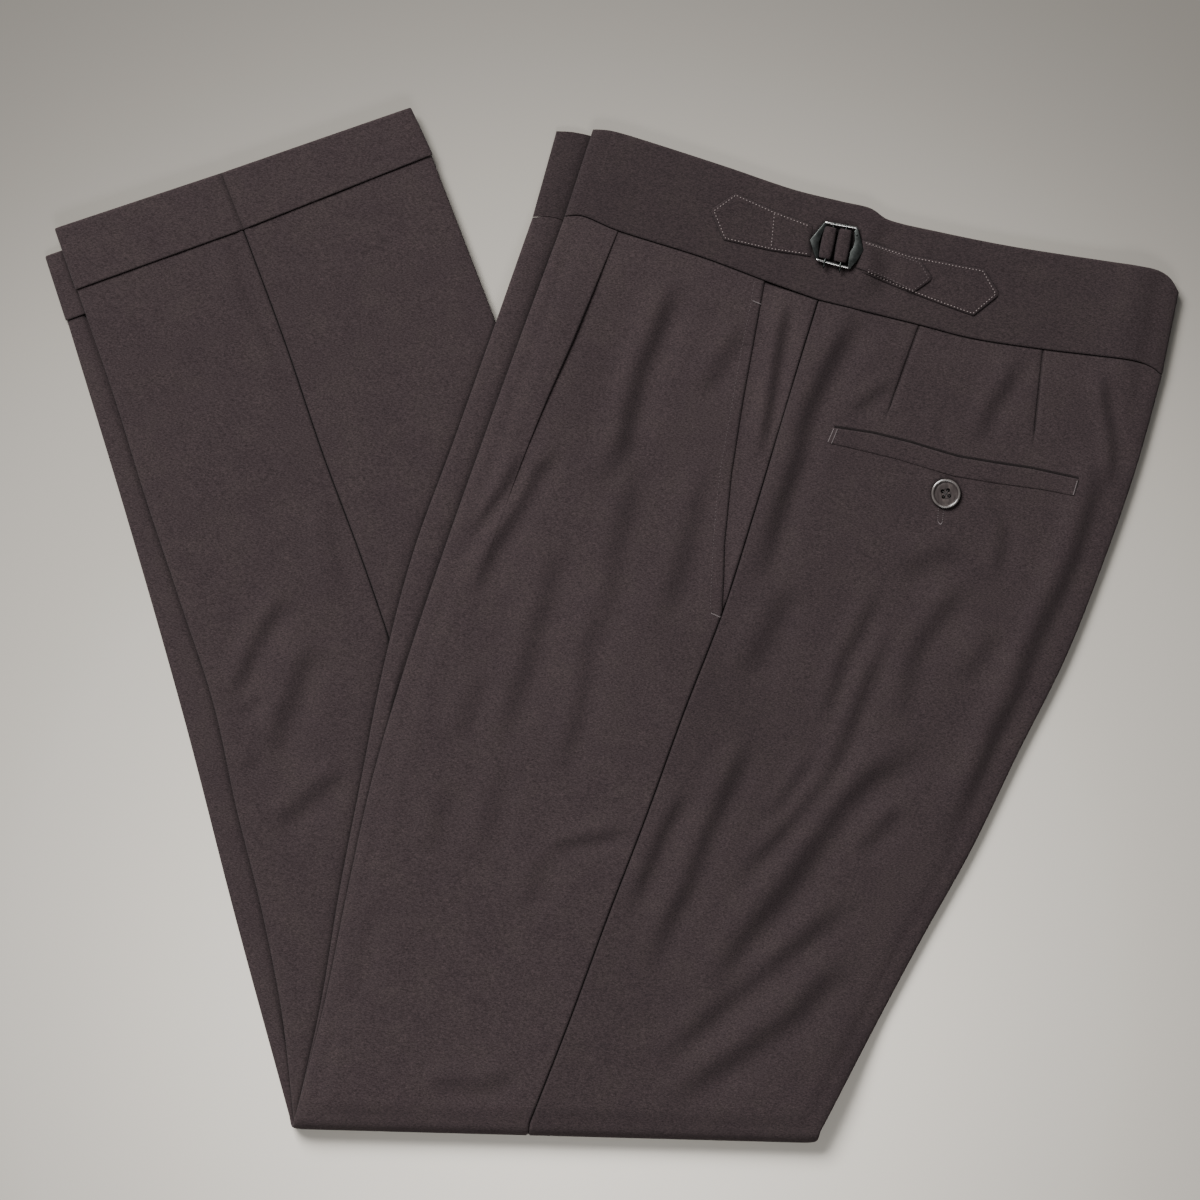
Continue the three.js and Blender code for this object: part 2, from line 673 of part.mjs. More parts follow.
// Welt of the back pocket.
const seat = ['left_back'];
const weltThickness = 1.2;
const welt = table(trimColumns, [
  [282.3, 385.7, 278.0, 377.5],
  [303.4, 382.6, 299.5, 373.3],
  [349.5, 371.9, 347.2, 361.3],
  [369.2, 368.6, 369.0, 357.9],
  [414.6, 361.5, 412.9, 352.1],
]);
add('back_pocket_welt', trimSolid(refine(welt, 7), seat, 0.35, weltThickness, 2), flannel);

// Button of the back pocket: a dished disc with a rim and four holes.
const button = { x: 343.2, y: 351.8, radius: 8, rim: 1.6, height: 2.4, dish: 1.5, hole: 0.95, holesAt: 2.1 };

function solidOf(geometry) {
  const bare = geometry.clone();
  bare.deleteAttribute('normal');
  bare.deleteAttribute('uv');
  const merged = mergeVertices(bare, 1e-4);
  const mesh = new wasm.Mesh({
    numProp: 3,
    vertProperties: new Float32Array(merged.attributes.position.array),
    triVerts: new Uint32Array(merged.index.array),
  });
  return new wasm.Manifold(mesh);
}

function geometryOf(solid) {
  const mesh = solid.getMesh();
  const geometry = new THREE.BufferGeometry();
  geometry.setAttribute('position', new THREE.BufferAttribute(new Float32Array(mesh.vertProperties), 3));
  geometry.setIndex(new THREE.BufferAttribute(new Uint32Array(mesh.triVerts), 1));
  return geometry;
}

function buttonSolid() {
  const b = button;
  const profile = [
    [0, 0], [b.radius - 1.2, 0], [b.radius, 0.9], [b.radius, 1.6], [b.radius - 0.6, b.height],
    [b.radius - b.rim, b.height], [b.radius - b.rim - 1.2, b.dish], [0, b.dish],
  ].map(([r, z]) => new THREE.Vector2(r, z));
  let solid = solidOf(new THREE.LatheGeometry(profile, 28).rotateX(Math.PI / 2));
  for (let i = 0; i < 4; i += 1) {
    const angle = Math.PI / 4 + i * Math.PI / 2;
    const hole = new THREE.CylinderGeometry(b.hole, b.hole, 3 * b.height, 8).rotateX(Math.PI / 2);
    hole.translate(b.holesAt * Math.cos(angle), b.holesAt * Math.sin(angle), b.height / 2);
    solid = solid.subtract(solidOf(hole));
  }
  return geometryOf(solid);
}

const buttonSeat = Math.max(...[0, 60, 120, 180, 240, 300].map((degrees) => {
  const angle = THREE.MathUtils.degToRad(degrees);
  const reach = button.radius - 1;
  return topOf(seat, button.x + reach * Math.cos(angle), button.y + reach * Math.sin(angle));
}));
add('back_pocket_button', buttonSolid().translate(button.x, button.y, buttonSeat + 0.4), horn, 0.5);

// Side adjuster on the waistband: a stitched tab at the front, a longer one at the back, and the
// strap whose pointed free end lies on the back tab.
const band = ['waistband_left'];
const tabThickness = 1.1;
const frontTab = table(trimColumns, [
  [213.2, 502.0, 212.8, 500.0],
  [225.7, 510.8, 219.9, 485.1],
  [247.2, 501.7, 245.6, 480.0],
  [267.6, 494.6, 267.2, 477.4],
]);
const backTab = table(trimColumns, [
  [297.4, 486.6, 295.8, 469.4],
  [322.0, 479.6, 316.5, 461.2],
  [350.2, 474.9, 338.4, 453.5],
  [360.8, 473.3, 355.6, 447.8],
  [369.0, 461.0, 368.4, 458.6],
]);
const strap = table(trimColumns, [
  [297.4, 485.4, 296.2, 470.8],
  [312.0, 481.5, 308.5, 466.0],
  [326.6, 476.6, 322.9, 459.4],
  [332.9, 468.2, 332.2, 466.2],
]);
add('adjuster_front_tab', trimSolid(refine(frontTab, 8), band, 0.35, tabThickness), flannel);
add('adjuster_back_tab', trimSolid(refine(backTab, 8), band, 0.35, tabThickness), flannel);
add('adjuster_strap', trimSolid(refine(strap, 6), ['adjuster_back_tab'], 0.35, tabThickness), flannel);

// Buckle: a flat six-sided frame with two upright bars, each wrapped by a loop of cloth.
const buckle = {
  thickness: 1.6,
  outline: [[266.2, 485.6], [270.4, 475.0], [288.6, 471.5], [295.4, 481.9], [291.6, 493.6], [273.6, 496.4]],
  windows: [
    [[269.8, 485.6], [274.6, 494.9], [276.0, 494.6], [273.6, 476.2], [271.2, 476.8]],
    [[277.6, 494.4], [284.4, 493.3], [282.2, 474.6], [275.2, 476.0]],
    [[286.0, 493.0], [289.8, 492.4], [291.2, 482.0], [286.6, 473.8], [283.8, 474.3]],
  ],
};

const corners = (points) => points.map(([x, y]) => new THREE.Vector2(x, y));
const buckleShape = new THREE.Shape(corners(buckle.outline));
buckleShape.holes = buckle.windows.map((points) => new THREE.Path(corners(points)));
const bandTop = Math.max(...[...buckle.outline, [281, 484]].map(([x, y]) => topOf(band, x, y)));
const buckleZ = bandTop + 0.35 + tabThickness + 0.35;
const buckleBody = new THREE.ExtrudeGeometry(buckleShape, { depth: buckle.thickness, bevelEnabled: false });
add('buckle_frame', buckleBody.translate(0, 0, buckleZ), gunmetal, 0.35, 0.9);

// Loops of cloth: a flat ring bent round an upright bar, open at both ends.
const loopWall = 1;
const loopGap = 0.3;
const barWidth = 1.6;
const loops = table(['name', 'topX', 'topY', 'bottomX', 'bottomY', 'width'], [
  ['adjuster_loop_front', 276.5, 492.9, 274.5, 477.6, 5.4],
  ['adjuster_loop_back', 285.0, 492.0, 283.1, 475.8, 5.6],
]);

for (const loop of loops) {
  const axis = new THREE.Vector3(loop.bottomX - loop.topX, loop.bottomY - loop.topY, 0);
  const outerHalf = { x: loop.width / 2, z: buckle.thickness / 2 + loopGap + loopWall };
  const innerHalf = { x: barWidth / 2 + loopGap + 0.15, z: buckle.thickness / 2 + loopGap };
  const side = new THREE.Vector3(axis.y, -axis.x, 0).normalize();
  const ringAt = (t, half) => evenly(0, 1, 12).slice(0, -1).map((turn) => {
    const angle = 2 * Math.PI * turn;
    const squared = (value) => Math.sign(value) * Math.abs(value) ** 0.6;
    const point = new THREE.Vector3(loop.topX, loop.topY, buckleZ + buckle.thickness / 2);
    point.addScaledVector(axis, t).addScaledVector(side, half.x * squared(Math.cos(angle)));
    return point.setZ(point.z + half.z * squared(Math.sin(angle)));
  });
  const outer = [0, 1].map((t) => ringAt(t, outerHalf));
  const inner = [0, 1].map((t) => ringAt(t, innerHalf));
  add(loop.name, solidBetween(outer, inner, true), flannel);
}

export default trousers;
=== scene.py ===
"""Dress trousers in wool flannel, pressed, laid crease to crease and folded under at the knee."""

import math
from collections import namedtuple

import bmesh
import bpy
import numpy as np
from mathutils import Matrix, Vector, noise
from mathutils.bvhtree import BVHTree


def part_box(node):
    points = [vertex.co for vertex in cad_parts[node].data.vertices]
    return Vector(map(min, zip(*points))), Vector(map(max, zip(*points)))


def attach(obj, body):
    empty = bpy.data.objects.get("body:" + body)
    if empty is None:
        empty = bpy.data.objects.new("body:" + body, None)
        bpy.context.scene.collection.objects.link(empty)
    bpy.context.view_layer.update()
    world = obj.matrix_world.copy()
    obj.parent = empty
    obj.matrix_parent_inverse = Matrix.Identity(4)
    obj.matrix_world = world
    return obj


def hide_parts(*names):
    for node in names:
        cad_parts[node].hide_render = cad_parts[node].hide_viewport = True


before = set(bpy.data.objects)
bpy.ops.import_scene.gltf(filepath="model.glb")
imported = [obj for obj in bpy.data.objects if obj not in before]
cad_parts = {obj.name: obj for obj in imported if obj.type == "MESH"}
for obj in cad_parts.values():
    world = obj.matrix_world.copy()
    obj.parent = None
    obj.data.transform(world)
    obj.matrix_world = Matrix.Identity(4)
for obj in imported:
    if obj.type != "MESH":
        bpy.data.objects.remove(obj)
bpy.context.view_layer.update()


# The table that the trousers lie on, lit from the upper left by a wide soft lamp and a weak one
# opposite, and looked at from straight above. The garment is laid out in the frame of its knee
# fold, in millimetres: x along the fold, y towards the waist, z up.
MM = 0.001
MIDDLE = np.array([160.1, 276.3, 0.0])  # what lies over the finished part's origin
VIEW_CENTRE = (158.6, 289.5, 0.0)
VIEW_TURN = math.radians(1.542)
VIEW_WIDTH = 648.0
LENS = 200.0
SENSOR = 36.0
LAMP_COLOUR = (1.0, 0.985, 0.97)
FLOOR_HALF = 3.0
# The table's colour holds a painted pool of light: palest at one place and darker outwards, painted light
# and shade, not a lamp's.
PAINTED_POOL_MIDDLE = (-0.018, -0.203, 0.0)  # the palest place of the table
PAINTED_POOL_REACH = 0.65  # from there to where it is darkest
PAINTED_POOL_COLOURS = [  # from its middle (0) out (1)
    (0.0, (0.70, 0.665, 0.60)), (0.18, (0.64, 0.607, 0.547)), (0.46, (0.35, 0.331, 0.297)),
    (0.62, (0.31, 0.292, 0.262)), (0.80, (0.17, 0.160, 0.143)), (1.0, (0.105, 0.098, 0.087)),
]


def placed(points):
    """Millimetres in the fold frame, as metres from the middle of the garment."""
    return (np.asarray(points, dtype=float) - MIDDLE) * MM


def in_scene(name, data):
    thing = bpy.data.objects.new(name, data)
    bpy.context.scene.collection.objects.link(thing)
    return thing


def mesh_of(name, bm):
    data = bpy.data.meshes.new(name)
    bm.to_mesh(data)
    bm.free()
    return data


camera_data = bpy.data.cameras.new("camera")
camera_data.lens = LENS
camera_data.sensor_width = SENSOR
camera = in_scene("camera", camera_data)
camera_height = VIEW_WIDTH * LENS / SENSOR * MM
camera.location = Vector(placed(VIEW_CENTRE)) + Vector((0, 0, camera_height))
camera.rotation_euler = (0, 0, VIEW_TURN)
bpy.context.scene.camera = camera


def soft_lamp(name, place, size, power, colour):
    """A wide lamp that faces the middle of the table."""
    lamp_data = bpy.data.lights.new(name, "AREA")
    lamp_data.shape = "RECTANGLE"
    lamp_data.size, lamp_data.size_y = size
    lamp_data.energy = power
    lamp_data.color = colour
    lamp = in_scene(name, lamp_data)
    lamp.location = place
    lamp.rotation_euler = (-Vector(place)).to_track_quat("-Z", "Y").to_euler()


soft_lamp("window_light", (-3.1, 4.6, 4.9), (4.1, 3.1), 1500, LAMP_COLOUR)
soft_lamp("front_light", (0.1, -1.25, 1.35), (0.9, 0.6), 15, LAMP_COLOUR)


def shader_of(name):
    """A material, its nodes, its shader and the places on its piece."""
    material = bpy.data.materials.new(name)
    material.use_nodes = True
    tree = material.node_tree
    place = tree.nodes.new("ShaderNodeTexCoord").outputs["Object"]
    return material, tree, tree.nodes["Principled BSDF"], place


def ramp_of(tree, value, stops, blend="LINEAR"):
    """A colour for each value, between colours at a few positions."""
    node = tree.nodes.new("ShaderNodeValToRGB")
    node.color_ramp.interpolation = blend
    node.color_ramp.elements[0].position = stops[0][0]
    node.color_ramp.elements[0].color = (*stops[0][1], 1)
    node.color_ramp.elements[1].position = stops[-1][0]
    node.color_ramp.elements[1].color = (*stops[-1][1], 1)
    for position, colour in stops[1:-1]:
        node.color_ramp.elements.new(position).color = (*colour, 1)
    tree.links.new(value, node.inputs["Fac"])
    return node.outputs["Color"]


world = bpy.data.worlds.new("studio")
world.use_nodes = True
world.node_tree.nodes["Background"].inputs["Color"].default_value = (0.9, 0.92, 0.95, 1)
world.node_tree.nodes["Background"].inputs["Strength"].default_value = 0.15
bpy.context.scene.world = world

floor_grid = bmesh.new()
bmesh.ops.create_grid(floor_grid, x_segments=1, y_segments=1, size=FLOOR_HALF)
floor = in_scene("table_top", mesh_of("table_top", floor_grid))
floor_paint, floor_tree, floor_shader, floor_place = shader_of("table_with_painted_light_pool")
# Painted pool of light: the table's colour darkens with the distance from its palest place.
from_middle = floor_tree.nodes.new("ShaderNodeVectorMath")
from_middle.operation = "DISTANCE"
from_middle.inputs[1].default_value = PAINTED_POOL_MIDDLE
floor_tree.links.new(floor_place, from_middle.inputs[0])
outwards = floor_tree.nodes.new("ShaderNodeMath")
outwards.operation = "DIVIDE"
outwards.inputs[1].default_value = PAINTED_POOL_REACH
floor_tree.links.new(from_middle.outputs["Value"], outwards.inputs[0])
painted_pool_colour = ramp_of(floor_tree, outwards.outputs["Value"], PAINTED_POOL_COLOURS, "B_SPLINE")
floor_tree.links.new(painted_pool_colour, floor_shader.inputs["Base Color"])
floor_shader.inputs["Roughness"].default_value = 0.9
floor.data.materials.append(floor_paint)


# The two legs, each a front and a back cut in wool flannel, sewn down the side and pressed to a
# sharp crease at the front and at the back. They lie with the left leg on the right one, and
# turn under at the knee, so that the right shin comes out on top of the left.
CLOTH = 0.95
SEAM_GAP = 0.3
LEG_GAP = 0.5  # between the two legs
LEG_THICKNESS = 3.2
ARM_GAP = 0.6  # between the shins and the thighs on them
ARM_LENGTH = 480  # about how long a thigh or a shin is
CREASE_DEPTH = 9.0  # how far in from a crease a leg rounds off
TURNED_IN = 12.0  # how far the inner layer shows in from the crease
CUFF_PROUD = 1.2
LOFT = 1.9  # how far the thighs' cloth stands off the layers under it, between its folds
LEFT_IN = 0.3  # of it at the waist seam and in the waistband
FOLD_Z = 2 * LEG_THICKNESS + ARM_GAP / 2
FOLD_Y = FOLD_Z
THIGH_DROP = 2 * LEG_THICKNESS + ARM_GAP
DROP_START = 10.0  # past the shins' back edge, where the thighs begin to come down
DROP_WIDTH = 55.0
SHIN_EDGE = ((280.9, 0.0), (48.8, 551.9))

# Down each leg from the knee fold (0) to the waist seam or the turn-up (1): where the front
# crease, the side seam and the back crease lie along the fold.
COLUMN = {"front": 1, "seam": 2, "back": 3}
LEG_LINES = {
    ("left", "thigh"): np.array([
        (0, 1.9, 128.2, 285.0), (0.125, 16.0, 148.3, 310.3), (0.25, 26.8, 167.2, 336.0),
        (0.375, 38.6, 186.9, 362.8), (0.5, 54.7, 205.5, 386.0), (0.625, 73.3, 225.4, 410.0),
        (0.75, 93.1, 241.4, 428.9), (0.875, 113.4, 256.4, 445.3), (1, 134.0, 271.9, 458.2),
    ]),
    ("left", "shin"): np.array([
        (0, -1.6, 127.0, 281.0), (0.25, -33.6, 85.0, 223.5), (0.5, -64.1, 44.0, 166.5),
        (0.75, -97.5, 2.0, 110.5), (1, -132.9, -39.0, 54.0),
    ]),
    ("right", "thigh"): np.array([
        (0, 2.2, 128.2, 284.0), (0.125, 14.0, 148.3, 308.8), (0.25, 22.4, 167.2, 334.5),
        (0.375, 32.6, 186.9, 361.3), (0.5, 43.0, 205.5, 384.5), (0.625, 57.1, 225.4, 408.5),
        (0.75, 77.4, 241.4, 427.4), (0.875, 97.2, 256.4, 443.8), (1, 116.7, 271.9, 456.7),
    ]),
    ("right", "shin"): np.array([
        (0, 0.9, 127.0, 281.0), (0.125, -6.9, 108.2, 251.0), (0.25, -19.2, 89.7, 223.9),
        (0.375, -34.5, 71.1, 196.9), (0.5, -48.2, 52.6, 169.8), (0.625, -67.9, 31.0, 142.7),
        (0.75, -88.0, 7.1, 115.6), (0.875, -106.8, -14.9, 88.6), (1, -127.6, -38.8, 61.4),
    ]),
}
# How far up those lines the waist seam and the turn-ups' seams lie.
LINE_ENDS = {
    ("left", "thigh"): {"front": 495.7, "seam": 454.2, "back": 418.6},
    ("left", "shin"): {"front": 432.4, "seam": 468.0, "back": 507.6},
    ("right", "thigh"): {"front": 494.9, "seam": 454.2, "back": 418.6},
    ("right", "shin"): {"front": 449.0, "seam": 483.7, "back": 526.5},
}
# The free edges of the waistband and the turn-ups on the same lines.
FREE_EDGES = {
    ("left", "thigh"): {"front": (148.0, 543.1), "seam": (284.5, 507.3), "back": (466.1, 463.8)},
    ("left", "shin"): {"front": (-145.1, 467.1), "seam": (-52.5, 502.0), "back": (43.4, 537.0)},
    ("right", "thigh"): {"front": (128.3, 541.8), "seam": (284.5, 505.8), "back": (464.6, 462.5)},
    ("right", "shin"): {"front": (-140.0, 482.0), "seam": (-51.7, 514.0), "back": (48.8, 551.9)},
}
# The waist seam's and the band edge's curve, from the front crease (0) past the side seam (1) to
# the centre back (2).
WAIST_SEAM_RISE = np.array([
    (0, 0), (0.07, 3.2), (0.2, 1.6), (0.55, 2.3), (0.8, 0.8), (1, 0),
    (1.3, -1.6), (1.45, -2.6), (1.66, 0), (1.8, 2.6), (1.92, 4.4), (1.97, 3.1), (2, 0),
])
BAND_EDGE_RISE = np.array([
    (0, 0), (0.07, 2), (0.2, 2.1), (0.53, 0.7), (0.8, -1), (1, 0.2), (1.08, 0.6),
    (1.13, -2.9), (1.27, -2.3), (1.5, 0.5), (1.8, 6.6), (1.88, 8.2), (1.94, 8.6),
    (1.975, 6), (2, 0),
])
POCKET_MOUTH = np.array([  # how far the slanted pocket's mouth lies in front of the side seam
    (0.62, 0), (0.7, 10.3), (0.78, 17.6), (0.86, 22.5), (0.93, 26.3), (1, 30.3),
])
PLEAT = np.array([  # its distance from the front crease, and how high its fold stands
    (0, 24, 0), (0.6, 24, 0), (0.72, 24, 0.35), (0.8, 25.4, 0.8), (0.88, 28, 1.2), (1, 30.2, 1.3),
])
DARTS = {  # on the seat, from the waist seam to the pocket
    "side": ((326.0, 441.5), (308.8, 388.8)),
    "centre": ((393.8, 431.0), (388.8, 368.7)),
}
DART_FOOT = 0.868  # how far up the thigh a dart starts
DART_DEPTH = 1.35

PLEAT_WIDTH = 24.0  # of the cloth that rises to its fold
PLEAT_DROP = 0.55  # of the cloth under the fold, for the fold's height
PLEAT_SHADE = 8.0  # how far past the fold that cloth is down

# A row of places across a leg: down the thigh or the shin (0 at the knee fold, 1 at the seam),
# round the knee fold (0 above, 1 below), or from the seam to a band's free edge (0 to 1).
Row = namedtuple("Row", "arm along turn free", defaults=(1.0, 0.0, None))
# A soft fold in the cloth: the line down its shaded side, its width, how high its ridge stands on
# the right of that line (going along it) and how deep the trough on the left is, and what it
# swells by in all.
Fold = namedtuple("Fold", "line width lean swell", defaults=(0.0,))

THIGH_FOLDS = [
    # on the front: from the waist, the pleat and the pocket
    Fold([(196, 466), (191, 451), (184, 430), (178, 415), (174, 398), (170, 378), (168, 360)], 8.7,
         2.2),
    Fold([(176, 382), (166, 368), (158, 350)], 8.7, 0.98),
    Fold([(174, 376), (174, 352), (171, 335), (166, 318), (165, 300), (163, 283), (160, 262)], 9.3,
         1.17),
    Fold([(115, 372), (110, 358), (105, 348), (99, 340), (92, 331), (86, 323), (78, 308)], 5.9, 1.68),
    Fold([(138, 374), (127, 362), (121, 353), (115, 340), (107, 326), (101, 315), (95, 300), (89, 284)],
         6.6, 1.57),
    Fold([(137, 326), (133, 312), (130, 291), (125, 274), (119, 250), (112, 228), (105, 203)], 9.3,
         1.45),
    Fold([(97, 250), (90, 230), (84, 208)], 8.7, 0.96),
    Fold([(156, 290), (152, 255), (150, 234), (144, 210), (138, 188)], 8, 1.07),
    Fold([(214, 366), (208, 335), (203, 314), (197, 293), (193, 272)], 9.3, 1.29),
    Fold([(233, 440), (224, 425), (216, 411), (206, 400)], 8, 1.07),
    Fold([(257, 464), (252, 430), (248, 402), (245, 381), (242, 360)], 5.6, 1.9),
    Fold([(178, 166), (161, 162), (144, 158), (131, 154)], 5.9, 1.14),
    Fold([(122, 34), (106, 28), (91, 27), (68, 28)], 8, 1.14),
    Fold([(37, 128), (33, 104), (31, 91), (26, 74), (22, 54)], 8.7, 1.29),
    Fold([(79, 192), (75, 168), (71, 148)], 8.7, 0.84),
    Fold([(108, 202), (103, 170), (97, 148)], 8.7, 0.84),
    Fold([(134, 154), (128, 137), (123, 120)], 8.7, 0.84),
    # on the seat: from the waist and the side seam down under the pocket
    Fold([(304, 470), (297, 455), (289, 440), (282, 426), (274, 408), (267, 390), (262, 366),
          (255, 345), (250, 325), (244, 306), (237, 288)], 8.7, 2.34),
    Fold([(313, 412), (301, 402), (289, 393)], 5.2, 0.98),
    Fold([(384, 433), (375, 412), (366, 397), (359, 376)], 6.6, 1.44),
    Fold([(337, 397), (338, 379)], 3.9, 0.7),
    Fold([(425, 423), (427, 410), (430, 396), (433, 380), (435, 364), (437, 348)], 5.4, 1.85),
    Fold([(406, 391), (416, 383), (421, 376), (425, 366), (421, 346), (416, 327), (410, 310), (399, 286),
          (390, 264), (384, 245), (375, 227), (366, 203), (356, 182), (346, 165), (336, 148)], 9.3, 2.25),
    Fold([(361, 359), (369, 345), (374, 334), (373, 319), (370, 302)], 6.6, 1.09),
    Fold([(354, 324), (340, 318), (328, 313), (314, 308)], 10.1, 1.14),
    Fold([(357, 307), (342, 286), (333, 273), (327, 258), (326, 240), (328, 225)], 8.7, 1.47),
    Fold([(336, 230), (331, 217), (323, 208), (306, 197), (290, 179), (278, 160), (267, 143), (254, 126),
          (241, 109), (232, 93), (223, 77), (212, 58)], 10.9, 2.51),
    Fold([(309, 303), (299, 277), (291, 262), (287, 249), (283, 234), (280, 220)], 6.3, 1.44),
    Fold([(317, 283), (307, 258), (301, 242), (295, 225), (289, 208), (281, 194), (271, 181), (257, 163),
          (242, 147), (232, 126)], 6.6, 1.64),
    Fold([(276, 210), (266, 194), (258, 182), (251, 172)], 5.2, 1.14),
    Fold([(260, 303), (250, 277), (243, 262), (235, 246)], 10.9, 1.68),
    Fold([(244, 225), (237, 206), (230, 190), (225, 178), (217, 158), (210, 137), (201, 119), (194, 102),
          (186, 84)], 8, 1.78),
    Fold([(209, 192), (203, 180), (196, 166), (190, 150), (184, 135), (179, 121)], 6.6, 1.57),
    Fold([(304, 134), (289, 124), (272, 109), (254, 94), (237, 78), (221, 64), (206, 50), (190, 36)],
         8.7, 1.7),
    Fold([(304, 99), (285, 87), (271, 71), (254, 58), (237, 45), (221, 34), (210, 25), (202, 12)],
         10.1, 1.97),
    Fold([(325, 184), (311, 169), (298, 155)], 8, 1.29),
    Fold([(375, 280), (362, 262), (354, 248)], 8.7, 0.98),
    # the broad swells of the seat and the front
    Fold([(330, 305), (322, 285)], 78, 0, 1.8),
    Fold([(172, 300), (160, 200)], 50, 0, 1.0),
]
SHIN_FOLDS = [
    Fold([(-8, 290), (-17, 277), (-23, 267), (-32, 247), (-39, 230), (-46, 220)], 6.6, 1.45),
    Fold([(7, 264), (-2, 247), (-6, 232), (-12, 218), (-13, 208), (-21, 198)], 9.3, 1.78),
    Fold([(27, 193), (15, 187), (3, 177), (-8, 168), (-18, 162)], 8.7, 1.44),
    Fold([(-22, 234), (-30, 227), (-38, 221)], 5.2, 0.9),
    Fold([(-23, 201), (-36, 192)], 5.2, 0.96),
    Fold([(6, 338), (12, 322), (18, 298), (26, 285)], 8.7, 1.02),
    Fold([(-50, 480), (-45, 466), (-37, 446), (-28, 429), (-19, 411), (-9, 390)], 5.2, 0.96),
    Fold([(-30, 330), (-60, 400)], 40, 0, 0.6),
]
BAND_FOLDS = [
    Fold([(299, 497), (303, 480), (303, 466), (297, 454)], 8.7, 1.45),
]
THIGH_RIPPLE = (0.16, 22, 3.0)  # height, size and seed of the small unevenness
SHIN_RIPPLE = (0.14, 24, 7.0)
UNDER_DIP = 0.9  # of the cloth under the edge of a leg that lies on it
UNDER_REACH = 7.0
UNDER_TOP = 445.0  # where the right thigh's front stops lying on the right shin
BAND_BULGE = 1.9  # of the thick waistband beside its fold at the centre back
BAND_BULGE_AT = 23.0
BAND_BULGE_WIDTH = 12.0
UNDER_FOLDS = [  # where the seat and the shins lie on the table
    Fold([(330, 300), (345, 240), (330, 180)], 7, 0.0, 0.9),
    Fold([(390, 330), (380, 270), (352, 205)], 6, 0.0, 0.7),
    Fold([(420, 400), (400, 350)], 6, 0.0, 0.7),
    Fold([(60, 120), (20, 210), (-10, 270)], 6, 0.0, 0.5),
    Fold([(120, 150), (90, 210), (50, 260)], 7, 0.0, 0.5),
    Fold([(10, 330), (-30, 390)], 6, 0.0, 0.4),
]


def mix(a, b, t):
    return a + (b - a) * t


def smooth(start, end, value):
    """From 0 at the start to 1 at the end, level at both."""
    t = np.clip((value - start) / (end - start), 0, 1)
    return t * t * (3 - 2 * t)


def curve(table, at, column=1):
    """A smooth curve through one column of a table, read at places down its first column."""
    x, y = table[:, 0], table[:, column]
    slope = np.empty(len(y))
    slope[1:-1] = (y[2:] - y[:-2]) / (x[2:] - x[:-2])
    slope[0] = (y[1] - y[0]) / (x[1] - x[0])
    slope[-1] = (y[-1] - y[-2]) / (x[-1] - x[-2])
    at = np.clip(at, x[0], x[-1])
    i = np.clip(np.searchsorted(x, at) - 1, 0, len(x) - 2)
    span = x[i + 1] - x[i]
    t = (at - x[i]) / span
    rest = (t**3 - 2 * t**2 + t) * slope[i] + (t**3 - t**2) * slope[i + 1]
    return (2 * t**3 - 3 * t**2 + 1) * y[i] + (3 * t**2 - 2 * t**3) * y[i + 1] + span * rest


def through(points, count):
    """Evenly numbered points on a smooth line through a few."""
    table = np.column_stack([np.arange(len(points)), np.array(points, dtype=float)])
    at = np.linspace(0, len(points) - 1, count)
    return np.column_stack([curve(table, at, 1 + i) for i in range(len(points[0]))])


FULL_LEAN = math.sqrt(2 * math.e)  # makes the ridge of a fold as high as its lean


def fold_height(folds, x, y):
    """How far the soft folds lift or sink the cloth at each place."""
    height = np.zeros(np.shape(x))
    for fold in folds:
        line = through(fold.line, 3 * len(fold.line))
        left, below = line.min(axis=0) - 4 * fold.width
        right, above = line.max(axis=0) + 4 * fold.width
        if x.max() < left or x.min() > right or y.max() < below or y.min() > above:
            continue
        steps = np.diff(line, axis=0)
        lengths = np.hypot(*steps.T)
        whole = lengths.sum()
        nearest = np.full(np.shape(x), 1e9)
        side = np.zeros(np.shape(x))
        down = np.zeros(np.shape(x))
        done = 0.0
        for start, step, length in zip(line, steps, lengths):
            dx, dy = x - start[0], y - start[1]
            along = (dx * step[0] + dy * step[1]) / length
            off = (dx * step[1] - dy * step[0]) / length
            held = np.clip(along, 0, length)
            distance = np.hypot(off, along - held)
            closer = distance < nearest
            nearest = np.where(closer, distance, nearest)
            side = np.where(closer, off, side)
            down = np.where(closer, (done + held) / whole, down)
            done += length
        taper = 1.0
        if whole > fold.width:
            taper = smooth(0, 0.22, down) * smooth(0, 0.28, 1 - down)
        across = side / fold.width
        past = np.maximum(nearest**2 - side**2, 0) / fold.width**2
        shape = FULL_LEAN * fold.lean * across + fold.swell
        height += taper * shape * np.exp(-(across**2) - past)
    return height


def ripple(x, y, height, size, seed):
    """The small unevenness of cloth that lies by itself."""
    places = zip(np.ravel(x) / size, np.ravel(y) / size)
    values = [noise.noise(Vector((u, v, seed))) for u, v in places]
    return height * np.reshape(values, np.shape(x))


def blunt(value, power=0.82):
    """A sine or cosine, for a nose that is blunter than round."""
    return np.sign(value) * np.abs(value) ** power


def crossing(start, way, other, other_way):
    """How far along its way a line from a start crosses another line."""
    gap = other - start
    across = way[0] * other_way[1] - way[1] * other_way[0]
    return (gap[0] * other_way[1] - gap[1] * other_way[0]) / across


def edge_roll(distance, depth=0.8, reach=1.2):
    """How far cloth turns down towards an edge."""
    inwards = 1 - np.clip(distance / reach, 0, 1)
    return depth * (1 - np.sqrt(1 - inwards**2))


def seam_dip(distance, depth=1.0, reach=1.5):
    """How far cloth sinks towards a pressed seam."""
    return depth * (1 - np.clip(distance / reach, 0, 1)) ** 2


